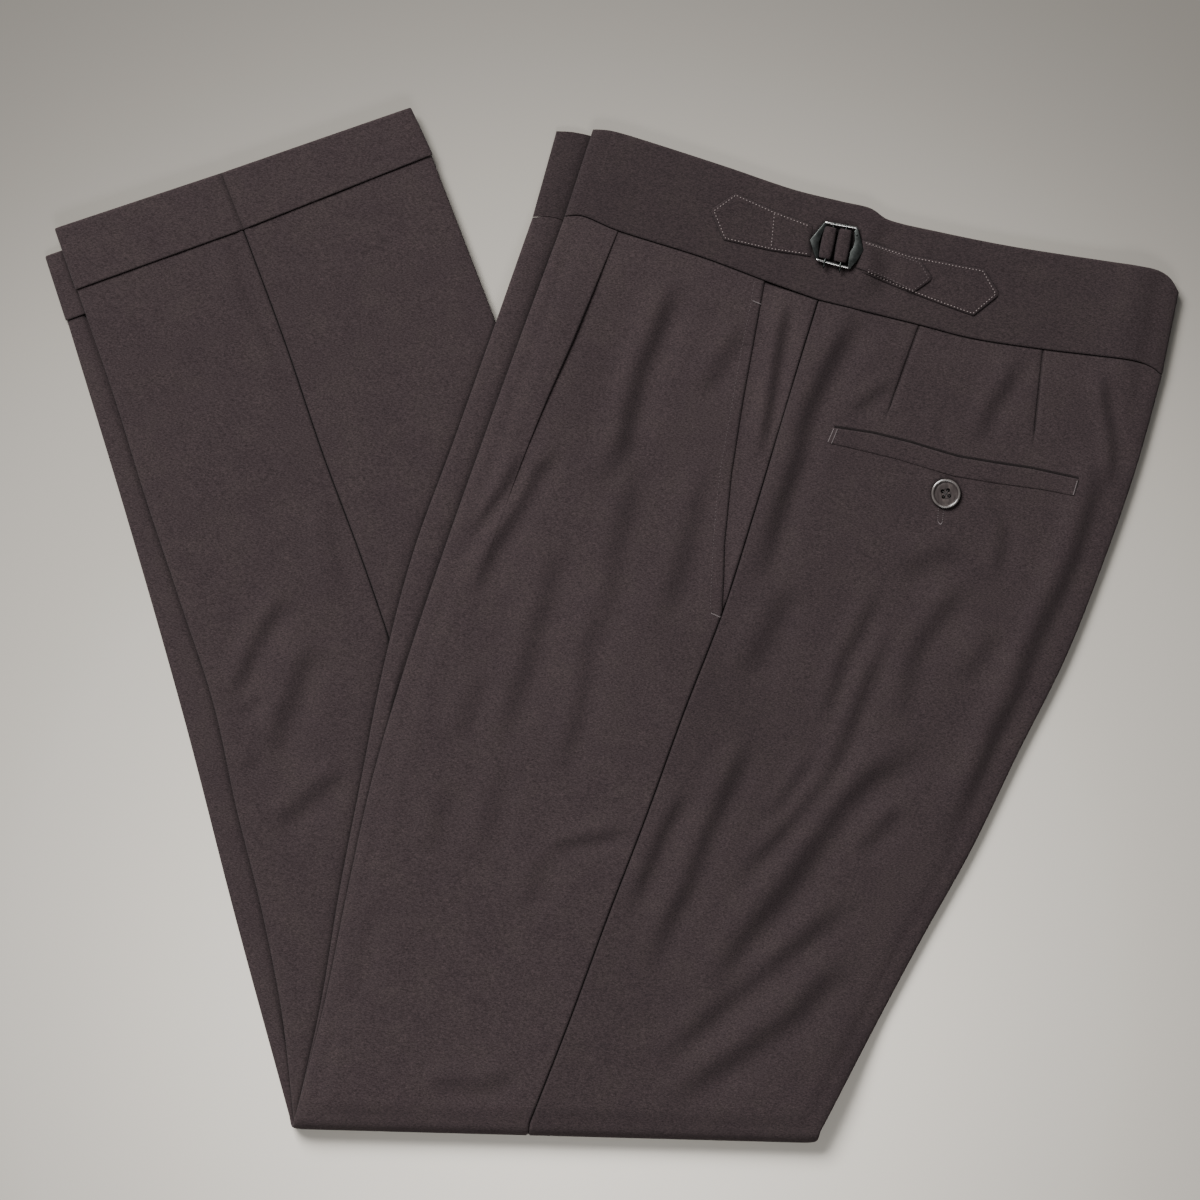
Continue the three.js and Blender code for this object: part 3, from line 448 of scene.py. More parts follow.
def lines_at(leg, row):
    """Where a row crosses the front crease, the side seam and the back crease of a leg."""
    lines = {}
    for line, column in COLUMN.items():
        if row.arm == "knee":
            above = LEG_LINES[leg, "thigh"][0, column]
            beneath = LEG_LINES[leg, "shin"][0, column]
            lines[line] = np.array([mix(above, beneath, row.turn), 0.0])
            continue
        end = LINE_ENDS[leg, row.arm][line] - SEAM_GAP / 2
        x = curve(LEG_LINES[leg, row.arm], row.along, column)
        spot = np.array([x, mix(FOLD_Y, end, row.along)])
        if row.free is not None:
            spot = mix(spot + (0, SEAM_GAP), np.array(FREE_EDGES[leg, row.arm][line]), row.free)
        lines[line] = spot
    return lines


def panel_width(leg, row, edge):
    """From a crease to the middle of the side seam."""
    lines = lines_at(leg, row)
    return np.hypot(*(lines["seam"] - lines[edge]))


def seam_edge(leg, row, edge):
    """From a crease to the cloth's edge at the side seam."""
    return panel_width(leg, row, edge) - SEAM_GAP / 2


def drop(x, y):
    """How far the thighs have come down past the shins' back edge."""
    (x0, y0), (x1, y1) = SHIN_EDGE
    past = ((x - x0) * (y1 - y0) - (y - y0) * (x1 - x0)) / math.hypot(x1 - x0, y1 - y0)
    return THIGH_DROP * smooth(DROP_START, DROP_START + DROP_WIDTH, past)


def leg_points(leg, row, edge, offsets, heights, raised=0.0):
    """Places at distances in from a crease and at heights off the middle of the stack."""
    lines = lines_at(leg, row)
    share = np.asarray(offsets) / panel_width(leg, row, edge)
    spots = lines[edge] + (lines["seam"] - lines[edge]) * share[:, None]
    x, y = spots.T
    if row.arm == "thigh":
        across = share if edge == "front" else 2 - share
        seam_rise = curve(WAIST_SEAM_RISE, across)
        if row.free is None:
            y = y + seam_rise * row.along**4
        else:
            y = y + mix(seam_rise, curve(BAND_EDGE_RISE, across), row.free)
    radius = ARM_GAP / 2 + LEG_THICKNESS + (heights if leg == "left" else -np.asarray(heights))
    if row.arm == "knee":
        angle = math.pi * row.turn
        return np.column_stack([x, FOLD_Y - radius * math.sin(angle), FOLD_Z + radius * math.cos(angle)])
    if row.arm == "thigh":
        return np.column_stack([x, y, FOLD_Z + radius - drop(x, y) + raised])
    return np.column_stack([x, y, FOLD_Z - radius + raised])


def band_bulge(offsets):
    """How far the thick waistband stands up before its fold at the centre back."""
    return BAND_BULGE * np.exp(-(((np.asarray(offsets) - BAND_BULGE_AT) / BAND_BULGE_WIDTH) ** 2))


def relief(leg, row, edge, offsets):
    """What lifts or sinks the outer side of a leg: none of it at the creases or round the knee."""
    if row.arm == "knee" or (row.free is not None and (leg, row.arm) != ("left", "thigh")):
        return np.zeros(len(offsets))
    x, y, _ = leg_points(leg, row, edge, offsets, np.zeros(len(offsets))).T
    clear = smooth(0.4 * CREASE_DEPTH, CREASE_DEPTH + 8, np.asarray(offsets))
    if row.free is not None:
        bulge = band_bulge(offsets) if edge == "back" else 0.0
        return LEFT_IN * LOFT * clear + (fold_height(BAND_FOLDS, x, y) + bulge) * clear
    clear = clear * smooth(FOLD_Y - 1, FOLD_Y + 10, y)
    if leg == "left" and row.arm == "thigh":
        height = LOFT + fold_height(THIGH_FOLDS, x, y) + ripple(x, y, *THIGH_RIPPLE)
        height = height * clear * (1 - (1 - LEFT_IN) * smooth(0.955, 1, row.along))
        if edge == "back":
            height = height + band_bulge(offsets) * clear * smooth(0.93, 1, row.along)
        if edge == "front":
            past = np.asarray(offsets) - curve(PLEAT, row.along)
            fold = curve(PLEAT, row.along, 2)
            over = fold * (1 - smooth(0, PLEAT_WIDTH, -past)) - seam_dip(-past, 0.5 * fold, 0.9)
            under = -PLEAT_DROP * fold * (1 - smooth(0, PLEAT_SHADE, past))
            sewn = 1 - 0.6 * smooth(0.88, 1, row.along)
            height = height + np.where(past < 0, over, under) * sewn
        return height
    if leg == "right" and row.arm == "shin":
        share = y / LINE_ENDS["right", "thigh"]["front"]
        covered = curve(LEG_LINES["right", "thigh"], share, COLUMN["front"])
        open_here = np.maximum(smooth(2, 16, covered - x), smooth(430, 460, y))
        height = fold_height(SHIN_FOLDS, x, y) + ripple(x, y, *SHIN_RIPPLE)
        beside = UNDER_DIP * (1 - smooth(0, UNDER_REACH, covered - x)) * (y < UNDER_TOP)
        return (height * open_here - beside) * clear
    return fold_height(UNDER_FOLDS, x, y) * clear


def shin_lift(leg, row):
    """The right shin rises over the left turn-up."""
    if leg != "right" or row.arm != "shin":
        return 0.0
    return CUFF_PROUD * (float(smooth(0.8, 0.97, row.along)) if row.free is None else 1.0)


def other_crease(leg, row, edge):
    """How far in from a leg's crease the other leg's crease lies."""
    other = "right" if leg == "left" else "left"
    lines = lines_at(leg, row)
    inwards = lines["seam"] - lines[edge]
    inwards = inwards / np.hypot(*inwards)
    spot = lines_at(other, row)[edge]
    if row.arm == "knee":
        ahead = np.array([spot[0], 1.0])
    elif row.free is None:
        ahead = lines_at(other, row._replace(along=row.along - 0.05))[edge]
    else:
        ahead = lines_at(other, row._replace(free=row.free - 0.1))[edge]
    return max(0.0, crossing(lines[edge], inwards, spot, ahead - spot))


NOSE = np.radians(np.linspace(0, 180, 15))
CREVICE = np.array([1.0, 2.2, 3.2, 4.0, 4.6])  # towards the edge of the leg on top
CREVICE_DIP = 0.8 * UNDER_DIP


def wall_section(leg, row, edge, offsets, top, wall, sunk=0.0):
    """One row of a wall from near the side seam to the crease, round it and back in."""
    low = LEG_GAP / 2
    half = (top - low) / 2
    centre = (top + low) / 2
    lift = shin_lift(leg, row)
    offsets = np.asarray(offsets)
    raised = lift + relief(leg, row, edge, offsets)
    outer = [leg_points(leg, row, edge, offsets, np.full(len(offsets), top) - sunk, raised)]
    inner = [leg_points(leg, row, edge, offsets, np.full(len(offsets), top - wall), raised)]
    reach = blunt(np.sin(NOSE))
    turn = blunt(np.cos(NOSE))
    crease = relief(leg, row, edge, [CREASE_DEPTH])[0]
    fade = lift + crease * np.clip(np.cos(NOSE), 0, 1) ** 2
    for points, inset in ((outer, 0.0), (inner, wall)):
        across = CREASE_DEPTH - (CREASE_DEPTH - inset) * reach
        heights = centre + (half - inset) * turn
        points.append(leg_points(leg, row, edge, across, heights, fade))
    covered = other_crease(leg, row, edge)
    begin = max(CREASE_DEPTH, covered - CREVICE[-1])
    back_in = np.append(begin + CREVICE, max(begin + CREVICE[-1], covered) + TURNED_IN)
    level = low + CREVICE_DIP * smooth(-CREVICE[-1], 0, back_in - covered) * (covered > CREASE_DEPTH)
    outer.append(leg_points(leg, row, edge, back_in, level, lift))
    inner.append(leg_points(leg, row, edge, back_in, level + wall, lift))
    return np.vstack(outer), np.vstack(inner)


def sharp_edges(bm, angle=0.9):
    """Smooth shading, but for the edges that turn by more than an angle."""
    for face in bm.faces:
        face.smooth = True
    for edge in bm.edges:
        edge.smooth = edge.calc_face_angle(0) < angle


def finished(bm, name, material, replaces=()):
    """A piece of the finished garment, from its mesh."""
    piece = in_scene(name, mesh_of(name, bm))
    piece.data.materials.append(material)
    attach(piece, "root")
    if replaces:
        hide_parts(*replaces)
    return piece


def cloth_wall(sections):
    """Cloth from rows of places on its outer and inner side, closed round its edges."""
    outer, inner = (np.array(side) for side in zip(*sections))
    rows, columns = outer.shape[:2]
    bm = bmesh.new()
    bmesh.ops.create_grid(bm, x_segments=columns - 1, y_segments=rows - 1, size=1)
    number = bm.verts.layers.int.new("number")
    outside = placed(outer.reshape(-1, 3))
    inside = placed(inner.reshape(-1, 3))
    for i, vert in enumerate(bm.verts):
        vert[number] = i
        vert.co = outside[i]
    bmesh.ops.remove_doubles(bm, verts=bm.verts[:], dist=1e-7)
    made = bmesh.ops.extrude_face_region(bm, geom=bm.faces[:], use_keep_orig=True)
    for vert in made["geom"]:
        if isinstance(vert, bmesh.types.BMVert):
            vert.co = inside[vert[number]]
    bmesh.ops.recalc_face_normals(bm, faces=bm.faces[:])
    sharp_edges(bm)
    return bm


def noise_of(tree, place, size, detail, rough=0.5):
    """Soft noise with features of a size in millimetres."""
    node = tree.nodes.new("ShaderNodeTexNoise")
    node.inputs["Scale"].default_value = 1 / (size * MM)
    node.inputs["Detail"].default_value = detail
    node.inputs["Roughness"].default_value = rough
    tree.links.new(place, node.inputs["Vector"])
    return node.outputs["Fac"]


def stretched(tree, place, scale, turn):
    """Places turned about the upright, and scaled."""
    node = tree.nodes.new("ShaderNodeMapping")
    node.inputs["Rotation"].default_value = (0, 0, turn)
    node.inputs["Scale"].default_value = scale
    tree.links.new(place, node.inputs["Vector"])
    return node.outputs["Vector"]


def blend_of(tree, kind, amount, first, second):
    """Two colours blended."""
    node = tree.nodes.new("ShaderNodeMix")
    node.data_type = "RGBA"
    node.blend_type = kind
    node.inputs["Factor"].default_value = amount
    tree.links.new(first, node.inputs["A"])
    tree.links.new(second, node.inputs["B"])
    return node.outputs["Result"]


def bump_of(tree, height, distance, strength, after=None):
    """A bump of a depth in millimetres."""
    node = tree.nodes.new("ShaderNodeBump")
    node.inputs["Distance"].default_value = distance * MM
    node.inputs["Strength"].default_value = strength
    tree.links.new(height, node.inputs["Height"])
    if after:
        tree.links.new(after, node.inputs["Normal"])
    return node.outputs["Normal"]


# Painted shade in the cloth's colour: how far it looks for other cloth close by, and how dark it is
# painted there.
PAINTED_SHADE_REACH = 5.0
PAINTED_SHADE_STOPS = [(0.42, (0.2, 0.2, 0.2)), (0.68, (0.6, 0.6, 0.6)), (0.88, (1, 1, 1))]


def painted_crevice_shade_of(tree, colour):
    """Painted shade: darkens a colour where other cloth closes in on it, at seams, edges and under folds.
    """
    near = tree.nodes.new("ShaderNodeAmbientOcclusion")
    near.samples = 8
    near.inputs["Distance"].default_value = PAINTED_SHADE_REACH * MM
    shade = ramp_of(tree, near.outputs["AO"], PAINTED_SHADE_STOPS)
    return blend_of(tree, "MULTIPLY", 1.0, colour, shade)


AUBERGINE = np.array([
    (0.0258, 0.0184, 0.0200), (0.0272, 0.0196, 0.0209), (0.0285, 0.0209, 0.0217),
])
TWILL_TURN = math.radians(52)


def flannel_of(name, depth=1.0):
    """Milled wool flannel: a mottled mix of dyed fibres, a faint twill and a soft raised nap, with
    painted shade darkening its crevices.
    """
    dark, middle, light = (tuple(shade) for shade in AUBERGINE * depth)
    material, tree, shader, place = shader_of(name)
    clouds = noise_of(tree, place, 16, 3)
    fibres = noise_of(tree, stretched(tree, place, (0.45, 1.0, 1.0), TWILL_TURN), 0.6, 4, 0.62)
    nap = noise_of(tree, place, 0.42, 3, 0.6)
    base = ramp_of(tree, clouds, [(0.35, dark), (0.52, middle), (0.68, light)])
    melange = ramp_of(tree, fibres, [
        (0.3, (0.2, 0.19, 0.2)), (0.5, (0.5, 0.5, 0.5)), (0.72, (0.82, 0.81, 0.8)),
    ])
    colour = blend_of(tree, "OVERLAY", 0.8, base, melange)
    flecks = ramp_of(tree, nap, [(0.35, (0.22, 0.22, 0.22)), (0.7, (0.8, 0.79, 0.78))])
    colour = blend_of(tree, "OVERLAY", 0.6, colour, flecks)
    # the colour with painted shade in its crevices
    tree.links.new(painted_crevice_shade_of(tree, colour), shader.inputs["Base Color"])
    shader.inputs["Roughness"].default_value = 0.95
    shader.inputs["Specular IOR Level"].default_value = 0.12
    shader.inputs["Sheen Weight"].default_value = 0.05
    shader.inputs["Sheen Roughness"].default_value = 0.55
    shader.inputs["Sheen Tint"].default_value = (0.72, 0.66, 0.68, 1)
    weave = bump_of(tree, fibres, 0.22, 0.6)
    fuzz = bump_of(tree, nap, 0.16, 0.5, after=weave)
    tree.links.new(fuzz, shader.inputs["Normal"])
    return material


flannel = flannel_of("aubergine_flannel")
# A darker copy of the same flannel for the seat and its welt: painted shade.
seat_flannel_painted_shade = flannel_of("seat_flannel_painted_shade", 0.91)

STEP = 2.6  # between the points of cloth that shows
RIGHT_STEP = 3.4
HIDDEN_STEP = 6.0
KNEE_STEPS = 12
FRONT_SPANS = (114, 14)  # about how wide the cloth is from the side seam to the pleat and the crease
BACK_SPANS = (52, 62, 54)  # from the side seam to each dart and the crease
EDGE_STEPS = np.array([0, 0.25, 0.6, 1.0, 1.6])
PLEAT_STEPS = np.array([3.0, 1.4, 0.6, 0.12, -0.12, -0.4, -0.9, -2.0])
DART_STEPS = np.array([1.4, 0.6, 0.0, -0.6, -1.4])


def between(start, end, count):
    """Evenly spaced places between two, without them."""
    return np.linspace(start, end, count + 2)[1:-1]


def mouth_width(leg, row):
    """How far in front of the side seam the slanted pocket's mouth lies."""
    if leg != "left" or row.arm != "thigh":
        return 0.0
    return float(np.interp(row.along, POCKET_MOUTH[:, 0], POCKET_MOUTH[:, 1]))


def front_offsets(leg, row, step):
    """Distances in from the front crease, from the side seam or the pocket mouth."""
    end = seam_edge(leg, row, "front") - mouth_width(leg, row)
    pleat = curve(PLEAT, row.along if row.arm == "thigh" else 0.0)
    wide, narrow = (round(span / step) for span in FRONT_SPANS)
    return np.concatenate([
        end - EDGE_STEPS, between(end - EDGE_STEPS[-1], pleat + PLEAT_STEPS[0], wide),
        pleat + PLEAT_STEPS, between(pleat + PLEAT_STEPS[-1], CREASE_DEPTH, narrow),
    ])


def dart_offset(leg, row, dart):
    """How far in from the back crease a dart, or the cloth in line with it, lies."""
    (x0, y0), (x1, y1) = DARTS[dart]
    along = max(row.along, DART_FOOT) if row.arm == "thigh" else DART_FOOT
    level = Row("thigh", along)
    lines = lines_at(leg, level)
    inwards = lines["seam"] - lines["back"]
    share = crossing(lines["back"], inwards, np.array([x0, y0]), np.array([x1 - x0, y1 - y0]))
    return share * panel_width(leg, row, "back")


def back_offsets(leg, row, step):
    """Distances in from the back crease, from the side seam past both darts."""
    end = seam_edge(leg, row, "back")
    side, centre = (dart_offset(leg, row, dart) for dart in ("side", "centre"))
    outer, middle, inner = (round(span / step) for span in BACK_SPANS)
    return np.concatenate([
        end - EDGE_STEPS, between(end - EDGE_STEPS[-1], side + DART_STEPS[0], outer),
        side + DART_STEPS, between(side + DART_STEPS[-1], centre + DART_STEPS[0], middle),
        centre + DART_STEPS, between(centre + DART_STEPS[-1], CREASE_DEPTH, inner),
    ])


def rows_of(thigh_step, shin_step):
    """The rows of a leg's cloth, from the waist seam round the knee fold to the turn-up."""
    at_seam = EDGE_STEPS / ARM_LENGTH
    thigh = np.concatenate([at_seam, between(at_seam[-1], 1, round(ARM_LENGTH / thigh_step)), [1]])
    shin = np.linspace(0, 1, round(ARM_LENGTH / shin_step))
    return (
        [Row("thigh", 1 - along) for along in thigh]
        + [Row("knee", 0, turn) for turn in between(0, 1, KNEE_STEPS)]
        + [Row("shin", along) for along in shin[:-1]]
        + [Row("shin", 1 - along) for along in at_seam[::-1]]
    )


def sunk_at(leg, row, edge, offsets):
    """How far the cloth turns down at its seams and along its darts."""
    end = seam_edge(leg, row, edge)
    if edge == "front":
        end -= mouth_width(leg, row)
    sunk = seam_dip(end - offsets, 0.9 if row.arm != "knee" else 0.6)
    if row.arm == "thigh":
        sunk = np.maximum(sunk, seam_dip((1 - row.along) * ARM_LENGTH, 0.5))
    if leg == "left" and edge == "back" and row.arm == "thigh":
        deep = DART_DEPTH * smooth(DART_FOOT, DART_FOOT + 0.05, row.along)
        for dart in DARTS:
            beside = np.abs(offsets - dart_offset(leg, row, dart))
            sunk = np.maximum(sunk, seam_dip(beside, deep, 1.4))
    return sunk


def sew_panel(leg, edge, rows, step):
    """One front or back of a leg."""
    offsets_of = front_offsets if edge == "front" else back_offsets
    sections = []
    for row in rows:
        offsets = offsets_of(leg, row, step)
        sunk = sunk_at(leg, row, edge, offsets)
        sections.append(wall_section(leg, row, edge, offsets, LEG_THICKNESS, CLOTH, sunk))
    name = f"{leg}_{edge}"
    # the seat takes the darker copy of the flannel, painted shade
    material = seat_flannel_painted_shade if name == "left_back" else flannel
    piece = finished(cloth_wall(sections), f"{name}_cloth", material, [name])
    return piece


left_rows = rows_of(STEP, HIDDEN_STEP)
right_rows = rows_of(HIDDEN_STEP, STEP)
left_front = sew_panel("left", "front", left_rows, STEP)
left_back = sew_panel("left", "back", left_rows, STEP)
sew_panel("right", "front", right_rows, RIGHT_STEP)
sew_panel("right", "back", right_rows, RIGHT_STEP)


# The left side pocket's facing, a strip of the same flannel behind the slanted mouth. It comes up
# from under the front's edge to the side seam.
TUCK = 1.2
MOUTH_STRIP = 5.0  # how far it reaches in under the front
FACING_FOOT = 0.615
FACING_COLUMNS = 22


def facing_row(row):
    """Both sides of the strip at a row: from the side seam to under the front."""
    width = mouth_width("left", row)
    end = seam_edge("left", row, "front")
    mouth = end - width
    shown = end - EDGE_STEPS
    shown = shown[shown > mouth + 0.2]
    start = shown[-1] if len(shown) else mouth
    offsets = np.concatenate([shown, np.linspace(start, mouth - MOUTH_STRIP, 17)[1:]])
    columns = np.linspace(0, 1, FACING_COLUMNS)
    offsets = np.interp(columns, np.linspace(0, 1, len(offsets)), offsets)
    past = offsets - mouth
    under = TUCK * (1 - smooth(1, max(0.85 * width, 3), past))
    raised = relief("left", row, "front", offsets) - under
    sunk = np.maximum(seam_dip(end - offsets, 0.9), seam_dip((1 - row.along) * ARM_LENGTH, 0.9))
    top = np.full(len(offsets), LEG_THICKNESS)
    return (
        leg_points("left", row, "front", offsets, top, raised - sunk),
        leg_points("left", row, "front", offsets, top - CLOTH, raised),
    )


facing_rows = [row for row in left_rows if row.arm == "thigh" and row.along > FACING_FOOT]
facing = finished(cloth_wall(map(facing_row, facing_rows)), "left_pocket_facing_cloth", flannel,
                  ["left_pocket_facing"])


# The waistband, in two pieces that meet at the centre back: flannel over an interlining, sewn on
# along the waist seam and turned in at the front.
# A darker copy of the same flannel for the waistband, its tabs, strap and loops: painted shade.
band_flannel_painted_shade = flannel_of("waistband_flannel", 0.82)
BAND_WALL = 1.2
BAND_PROUD = 0.6
BAND_HEIGHT = 49.0
BAND_ROWS = 20
BAND_SPANS = (128, 180)  # about how wide it is from the side seam to the front and the back


def band_row(leg, row):
    """Both sides of the band at a row: from the front crease to the centre back."""
    top = LEG_THICKNESS + (BAND_PROUD if leg == "left" else 0)
    sunk = max(edge_roll(row.free * BAND_HEIGHT), edge_roll((1 - row.free) * BAND_HEIGHT, 0.9, 1.5))
    step = STEP if leg == "left" else HIDDEN_STEP
    halves = []
    for edge, span in zip(("front", "back"), BAND_SPANS):
        end = seam_edge(leg, row, edge)
        offsets = between(end, CREASE_DEPTH, round(span / step))
        if edge == "front":
            offsets = np.append(end, offsets)
        halves.append(wall_section(leg, row, edge, offsets, top - sunk, BAND_WALL - sunk))
    return [np.vstack([front[::-1], back]) for front, back in zip(*halves)]


def free_rows(arm, height, start, count):
    """The rows of a band, from its seam (0) to its free edge (1), close together at both."""
    at_edge = EDGE_STEPS / height
    shares = np.concatenate([at_edge, np.linspace(start, 1 - start, count), 1 - at_edge[::-1]])
    return [Row(arm, 1.0, 0.0, free) for free in shares]


for leg in ("left", "right"):
    sections = [band_row(leg, row) for row in free_rows("thigh", BAND_HEIGHT, 0.06, BAND_ROWS)]
    band = finished(cloth_wall(sections), f"waistband_{leg}_cloth", band_flannel_painted_shade,
                    [f"waistband_{leg}"])


# The turn-ups: the ends of the legs turned back on themselves and pressed, with the side seam
# running on through them.
CUFF_WALL = 1.6
CUFF_OVERHANG = 0.8
CUFF_HEIGHT = 36.0
CUFF_ROWS = 13
CUFF_SPAN = 88  # about how wide it is from a crease to the side seam
CUFF_NOSE = np.linspace(0, math.pi, 13)


def cuff_loop(leg, row, inset):
    """Once round a turn-up, from the front crease over the top and back underneath."""
    top = LEG_THICKNESS + (CUFF_PROUD if leg == "right" else 0)
    low = LEG_GAP / 2 - (CUFF_PROUD if leg == "left" else 0)
    half = (top - low) / 2
    centre = (top + low) / 2
    lift = shin_lift(leg, row)
    reach = CREASE_DEPTH + CUFF_OVERHANG - inset
    step = STEP if leg == "right" else HIDDEN_STEP
    loop = []

    def nose(edge, angles):
        across = CREASE_DEPTH - reach * blunt(np.sin(angles))
        heights = centre + (half - inset) * blunt(np.cos(angles))
        loop.append(leg_points(leg, row, edge, across, heights, lift))

    def level(edge, height, way):
        width = panel_width(leg, row, edge)
        offsets = between(CREASE_DEPTH, width - 1.2, round(CUFF_SPAN / step))
        offsets = np.append(offsets, width - EDGE_STEPS[2:0:-1] / 2)
        outside_top = inset < 0.9 and height > centre
        groove = seam_dip(width - offsets, 1.5, 1.5) if outside_top else 0
        heights = np.full(len(offsets), height) - groove
        loop.append(leg_points(leg, row, edge, offsets, heights, lift)[::way])

    nose("front", CUFF_NOSE[::-1])
    level("front", top - inset, 1)
    level("back", top - inset, -1)
    nose("back", CUFF_NOSE)
    level("back", low + inset, 1)
    level("front", low + inset, -1)
    ring = np.vstack(loop)
    return np.vstack([ring, ring[:1]])


for leg in ("left", "right"):
    sections = []
    for row in free_rows("shin", CUFF_HEIGHT, 0.08, CUFF_ROWS):
        from_seam, from_edge = row.free * CUFF_HEIGHT, (1 - row.free) * CUFF_HEIGHT
        rolled = max(edge_roll(from_seam, 0.6), edge_roll(from_edge, 0.7, 1.6))
        sections.append([cuff_loop(leg, row, inset) for inset in (rolled, CUFF_WALL - 0.35 * rolled)])
    cuff = finished(cloth_wall(sections), f"{leg}_turn_up_cloth", flannel,
                    [f"{leg}_turn_up"])


# The layers between, which show only in the gaps of the seams: the insides of the legs, their seam
# allowances and the pocket bags, in the same flannel made far darker, as painted shade in those gaps.
inside_flannel_painted_shade = flannel_of("flannel_wrong_side_painted_shade", 0.27)
for slot in bpy.data.objects["hidden_layers"].material_slots:
    slot.link = "OBJECT"
    slot.material = inside_flannel_painted_shade


# The back pocket: a welt of folded flannel sewn under its mouth, tacked at both ends, and a thin dark
# strip in the slit of the mouth above it, a painted shadow.
def tree_of(*pieces):
    """What a trim lies on, for finding its height."""
    bm = bmesh.new()
    for piece in pieces:
        bm.from_mesh(piece.data)
    tree = BVHTree.FromBMesh(bm)
    bm.free()
    return tree


def lie_on(tree, points):
    """Heights, in millimetres, of a surface under places in the fold frame."""
    heights = []
    for x, y, _ in placed(np.column_stack([points, np.zeros(len(points))])):
        hit = tree.ray_cast(Vector((x, y, 1.0)), Vector((0, 0, -1)))[0]
        heights.append(hit.z / MM)
    return np.array(heights)


def stations_of(table, step):
    """Stations down a trim, no further apart than a step, from the few that shape it."""
    table = np.array(table)
    fine = [table[:1]]
    for a, b in zip(table[:-1], table[1:]):
        count = max(1, math.ceil(np.hypot(*(b - a)[:2]) / step))
        fine.append(a + (b - a) * (np.arange(1, count + 1) / count)[:, None])
    return np.vstack(fine)


def edge_distance(points, outline):
    """How far places lie inside an outline."""
    nearest = np.full(len(points), 1e9)
    for a, b in zip(outline, np.roll(outline, -1, axis=0)):
        step = b - a
        length = max(np.hypot(*step), 1e-9)
        along = np.clip(((points - a) @ step) / length**2, 0, 1)
        nearest = np.minimum(nearest, np.hypot(*(points - a - along[:, None] * step).T))
    return nearest


def sew_trim(tree, table, thickness, across, step=1.8, lift=(0.05, 0.05), ease=1.1):
    """A flat trim on a piece, with soft turned edges. Its two long edges stand off by 'lift'."""
    outline = np.array([row[:2] for row in table] + [row[2:] for row in table[::-1]])
    shares = np.concatenate([[0, 0.02, 0.05], np.linspace(0.1, 0.9, across), [0.95, 0.98, 1]])
    sections = []
    for row in stations_of(table, step):
        spots = row[:2] + (row[2:] - row[:2]) * shares[:, None]
        ground = lie_on(tree, spots) + mix(lift[0], lift[1], shares)
        roll = edge_roll(edge_distance(spots, outline), 0.85 * thickness, ease)
        heights = (ground + thickness - roll, ground)
        sections.append([np.column_stack([spots, height]) for height in heights])
    return cloth_wall(sections)


seat = tree_of(left_back)
WELT = [  # along the pocket: its upper edge and its lower edge
    (282.3, 385.7, 278.0, 377.5), (303.4, 383.0, 297.1, 373.6), (323.1, 378.7, 316.8, 369.4),
    (337.6, 374.7, 335.3, 364.3), (349.5, 371.6, 347.2, 361.1), (369.2, 368.8, 369.5, 358.0),
    (388.9, 366.4, 395.8, 355.1), (414.6, 361.5, 412.9, 352.1),
]
welt = finished(sew_trim(seat, WELT, 0.8, 8, lift=(0.25, -0.25)), "back_pocket_welt_cloth",
                seat_flannel_painted_shade, ["back_pocket_welt"])

# A dark strip of the darkened inner flannel in the mouth's slit: painted shadow.
SLIT_SHADOW_WIDTH = 1.3
slit_shadow_table = [(x, y + SLIT_SHADOW_WIDTH, x, y - 0.2) for x, y, _, _ in WELT]
finished(sew_trim(seat, slit_shadow_table, 0.25, 2, lift=(0.02, 0.02), ease=0.3), "back_pocket_mouth_painted_shadow",
         inside_flannel_painted_shade)


# The button of the back pocket, turned from dark horn: a raised rim round a shallow dish with
# four holes, sewn on with a short shank of thread over its buttonhole.
BUTTON = (343.2, 351.8)
BUTTON_PROFILE = [  # radius and height, from the middle of the underside
    (0, 0), (6.6, 0), (7.5, 0.3), (8.0, 0.85), (8.0, 1.3), (7.75, 1.8), (7.25, 2.05), (6.75, 1.95),
    (6.35, 1.55), (5.9, 1.2), (5.4, 1.25), (5.0, 1.37), (4.0, 1.25), (2.4, 1.05), (0, 1.0),
]
BUTTON_HIGHLIGHT_RING = (6.8, 7.8)  # between them its edge is painted paler, a painted highlight
BUTTON_TURNS = 72
HOLE_RADIUS = 1.05
HOLE_REACH = 2.2  # from the button's middle
HOLE_TURN = 57  # of the first hole, in degrees


def turned(profile, turns, centre):
    """A profile of radius and height turned about a standing axis."""
    bm = bmesh.new()
    verts = [bm.verts.new(placed((centre[0] + r, centre[1], centre[2] + z))) for r, z in profile]
    edges = [bm.edges.new(pair) for pair in zip(verts, verts[1:])]
    bmesh.ops.spin(bm, geom=verts + edges, cent=placed(centre), axis=(0, 0, 1), angle=2 * math.pi,
                   steps=turns, use_merge=True)
    bmesh.ops.remove_doubles(bm, verts=bm.verts[:], dist=1e-7)
    bmesh.ops.recalc_face_normals(bm, faces=bm.faces[:])
    sharp_edges(bm, 0.6)
    return bm


def horn_of(name, stops):
    """Polished horn, with faint pale streaks."""
    material, tree, shader, place = shader_of(name)
    streaks = noise_of(tree, stretched(tree, place, (1.0, 0.25, 1.0), 0.5), 1.6, 4, 0.6)
    tree.links.new(ramp_of(tree, streaks, stops), shader.inputs["Base Color"])
    scratches = noise_of(tree, place, 0.3, 2)
    tree.links.new(bump_of(tree, scratches, 0.02, 0.3), shader.inputs["Normal"])
    shader.inputs["Roughness"].default_value = 0.24
    return material


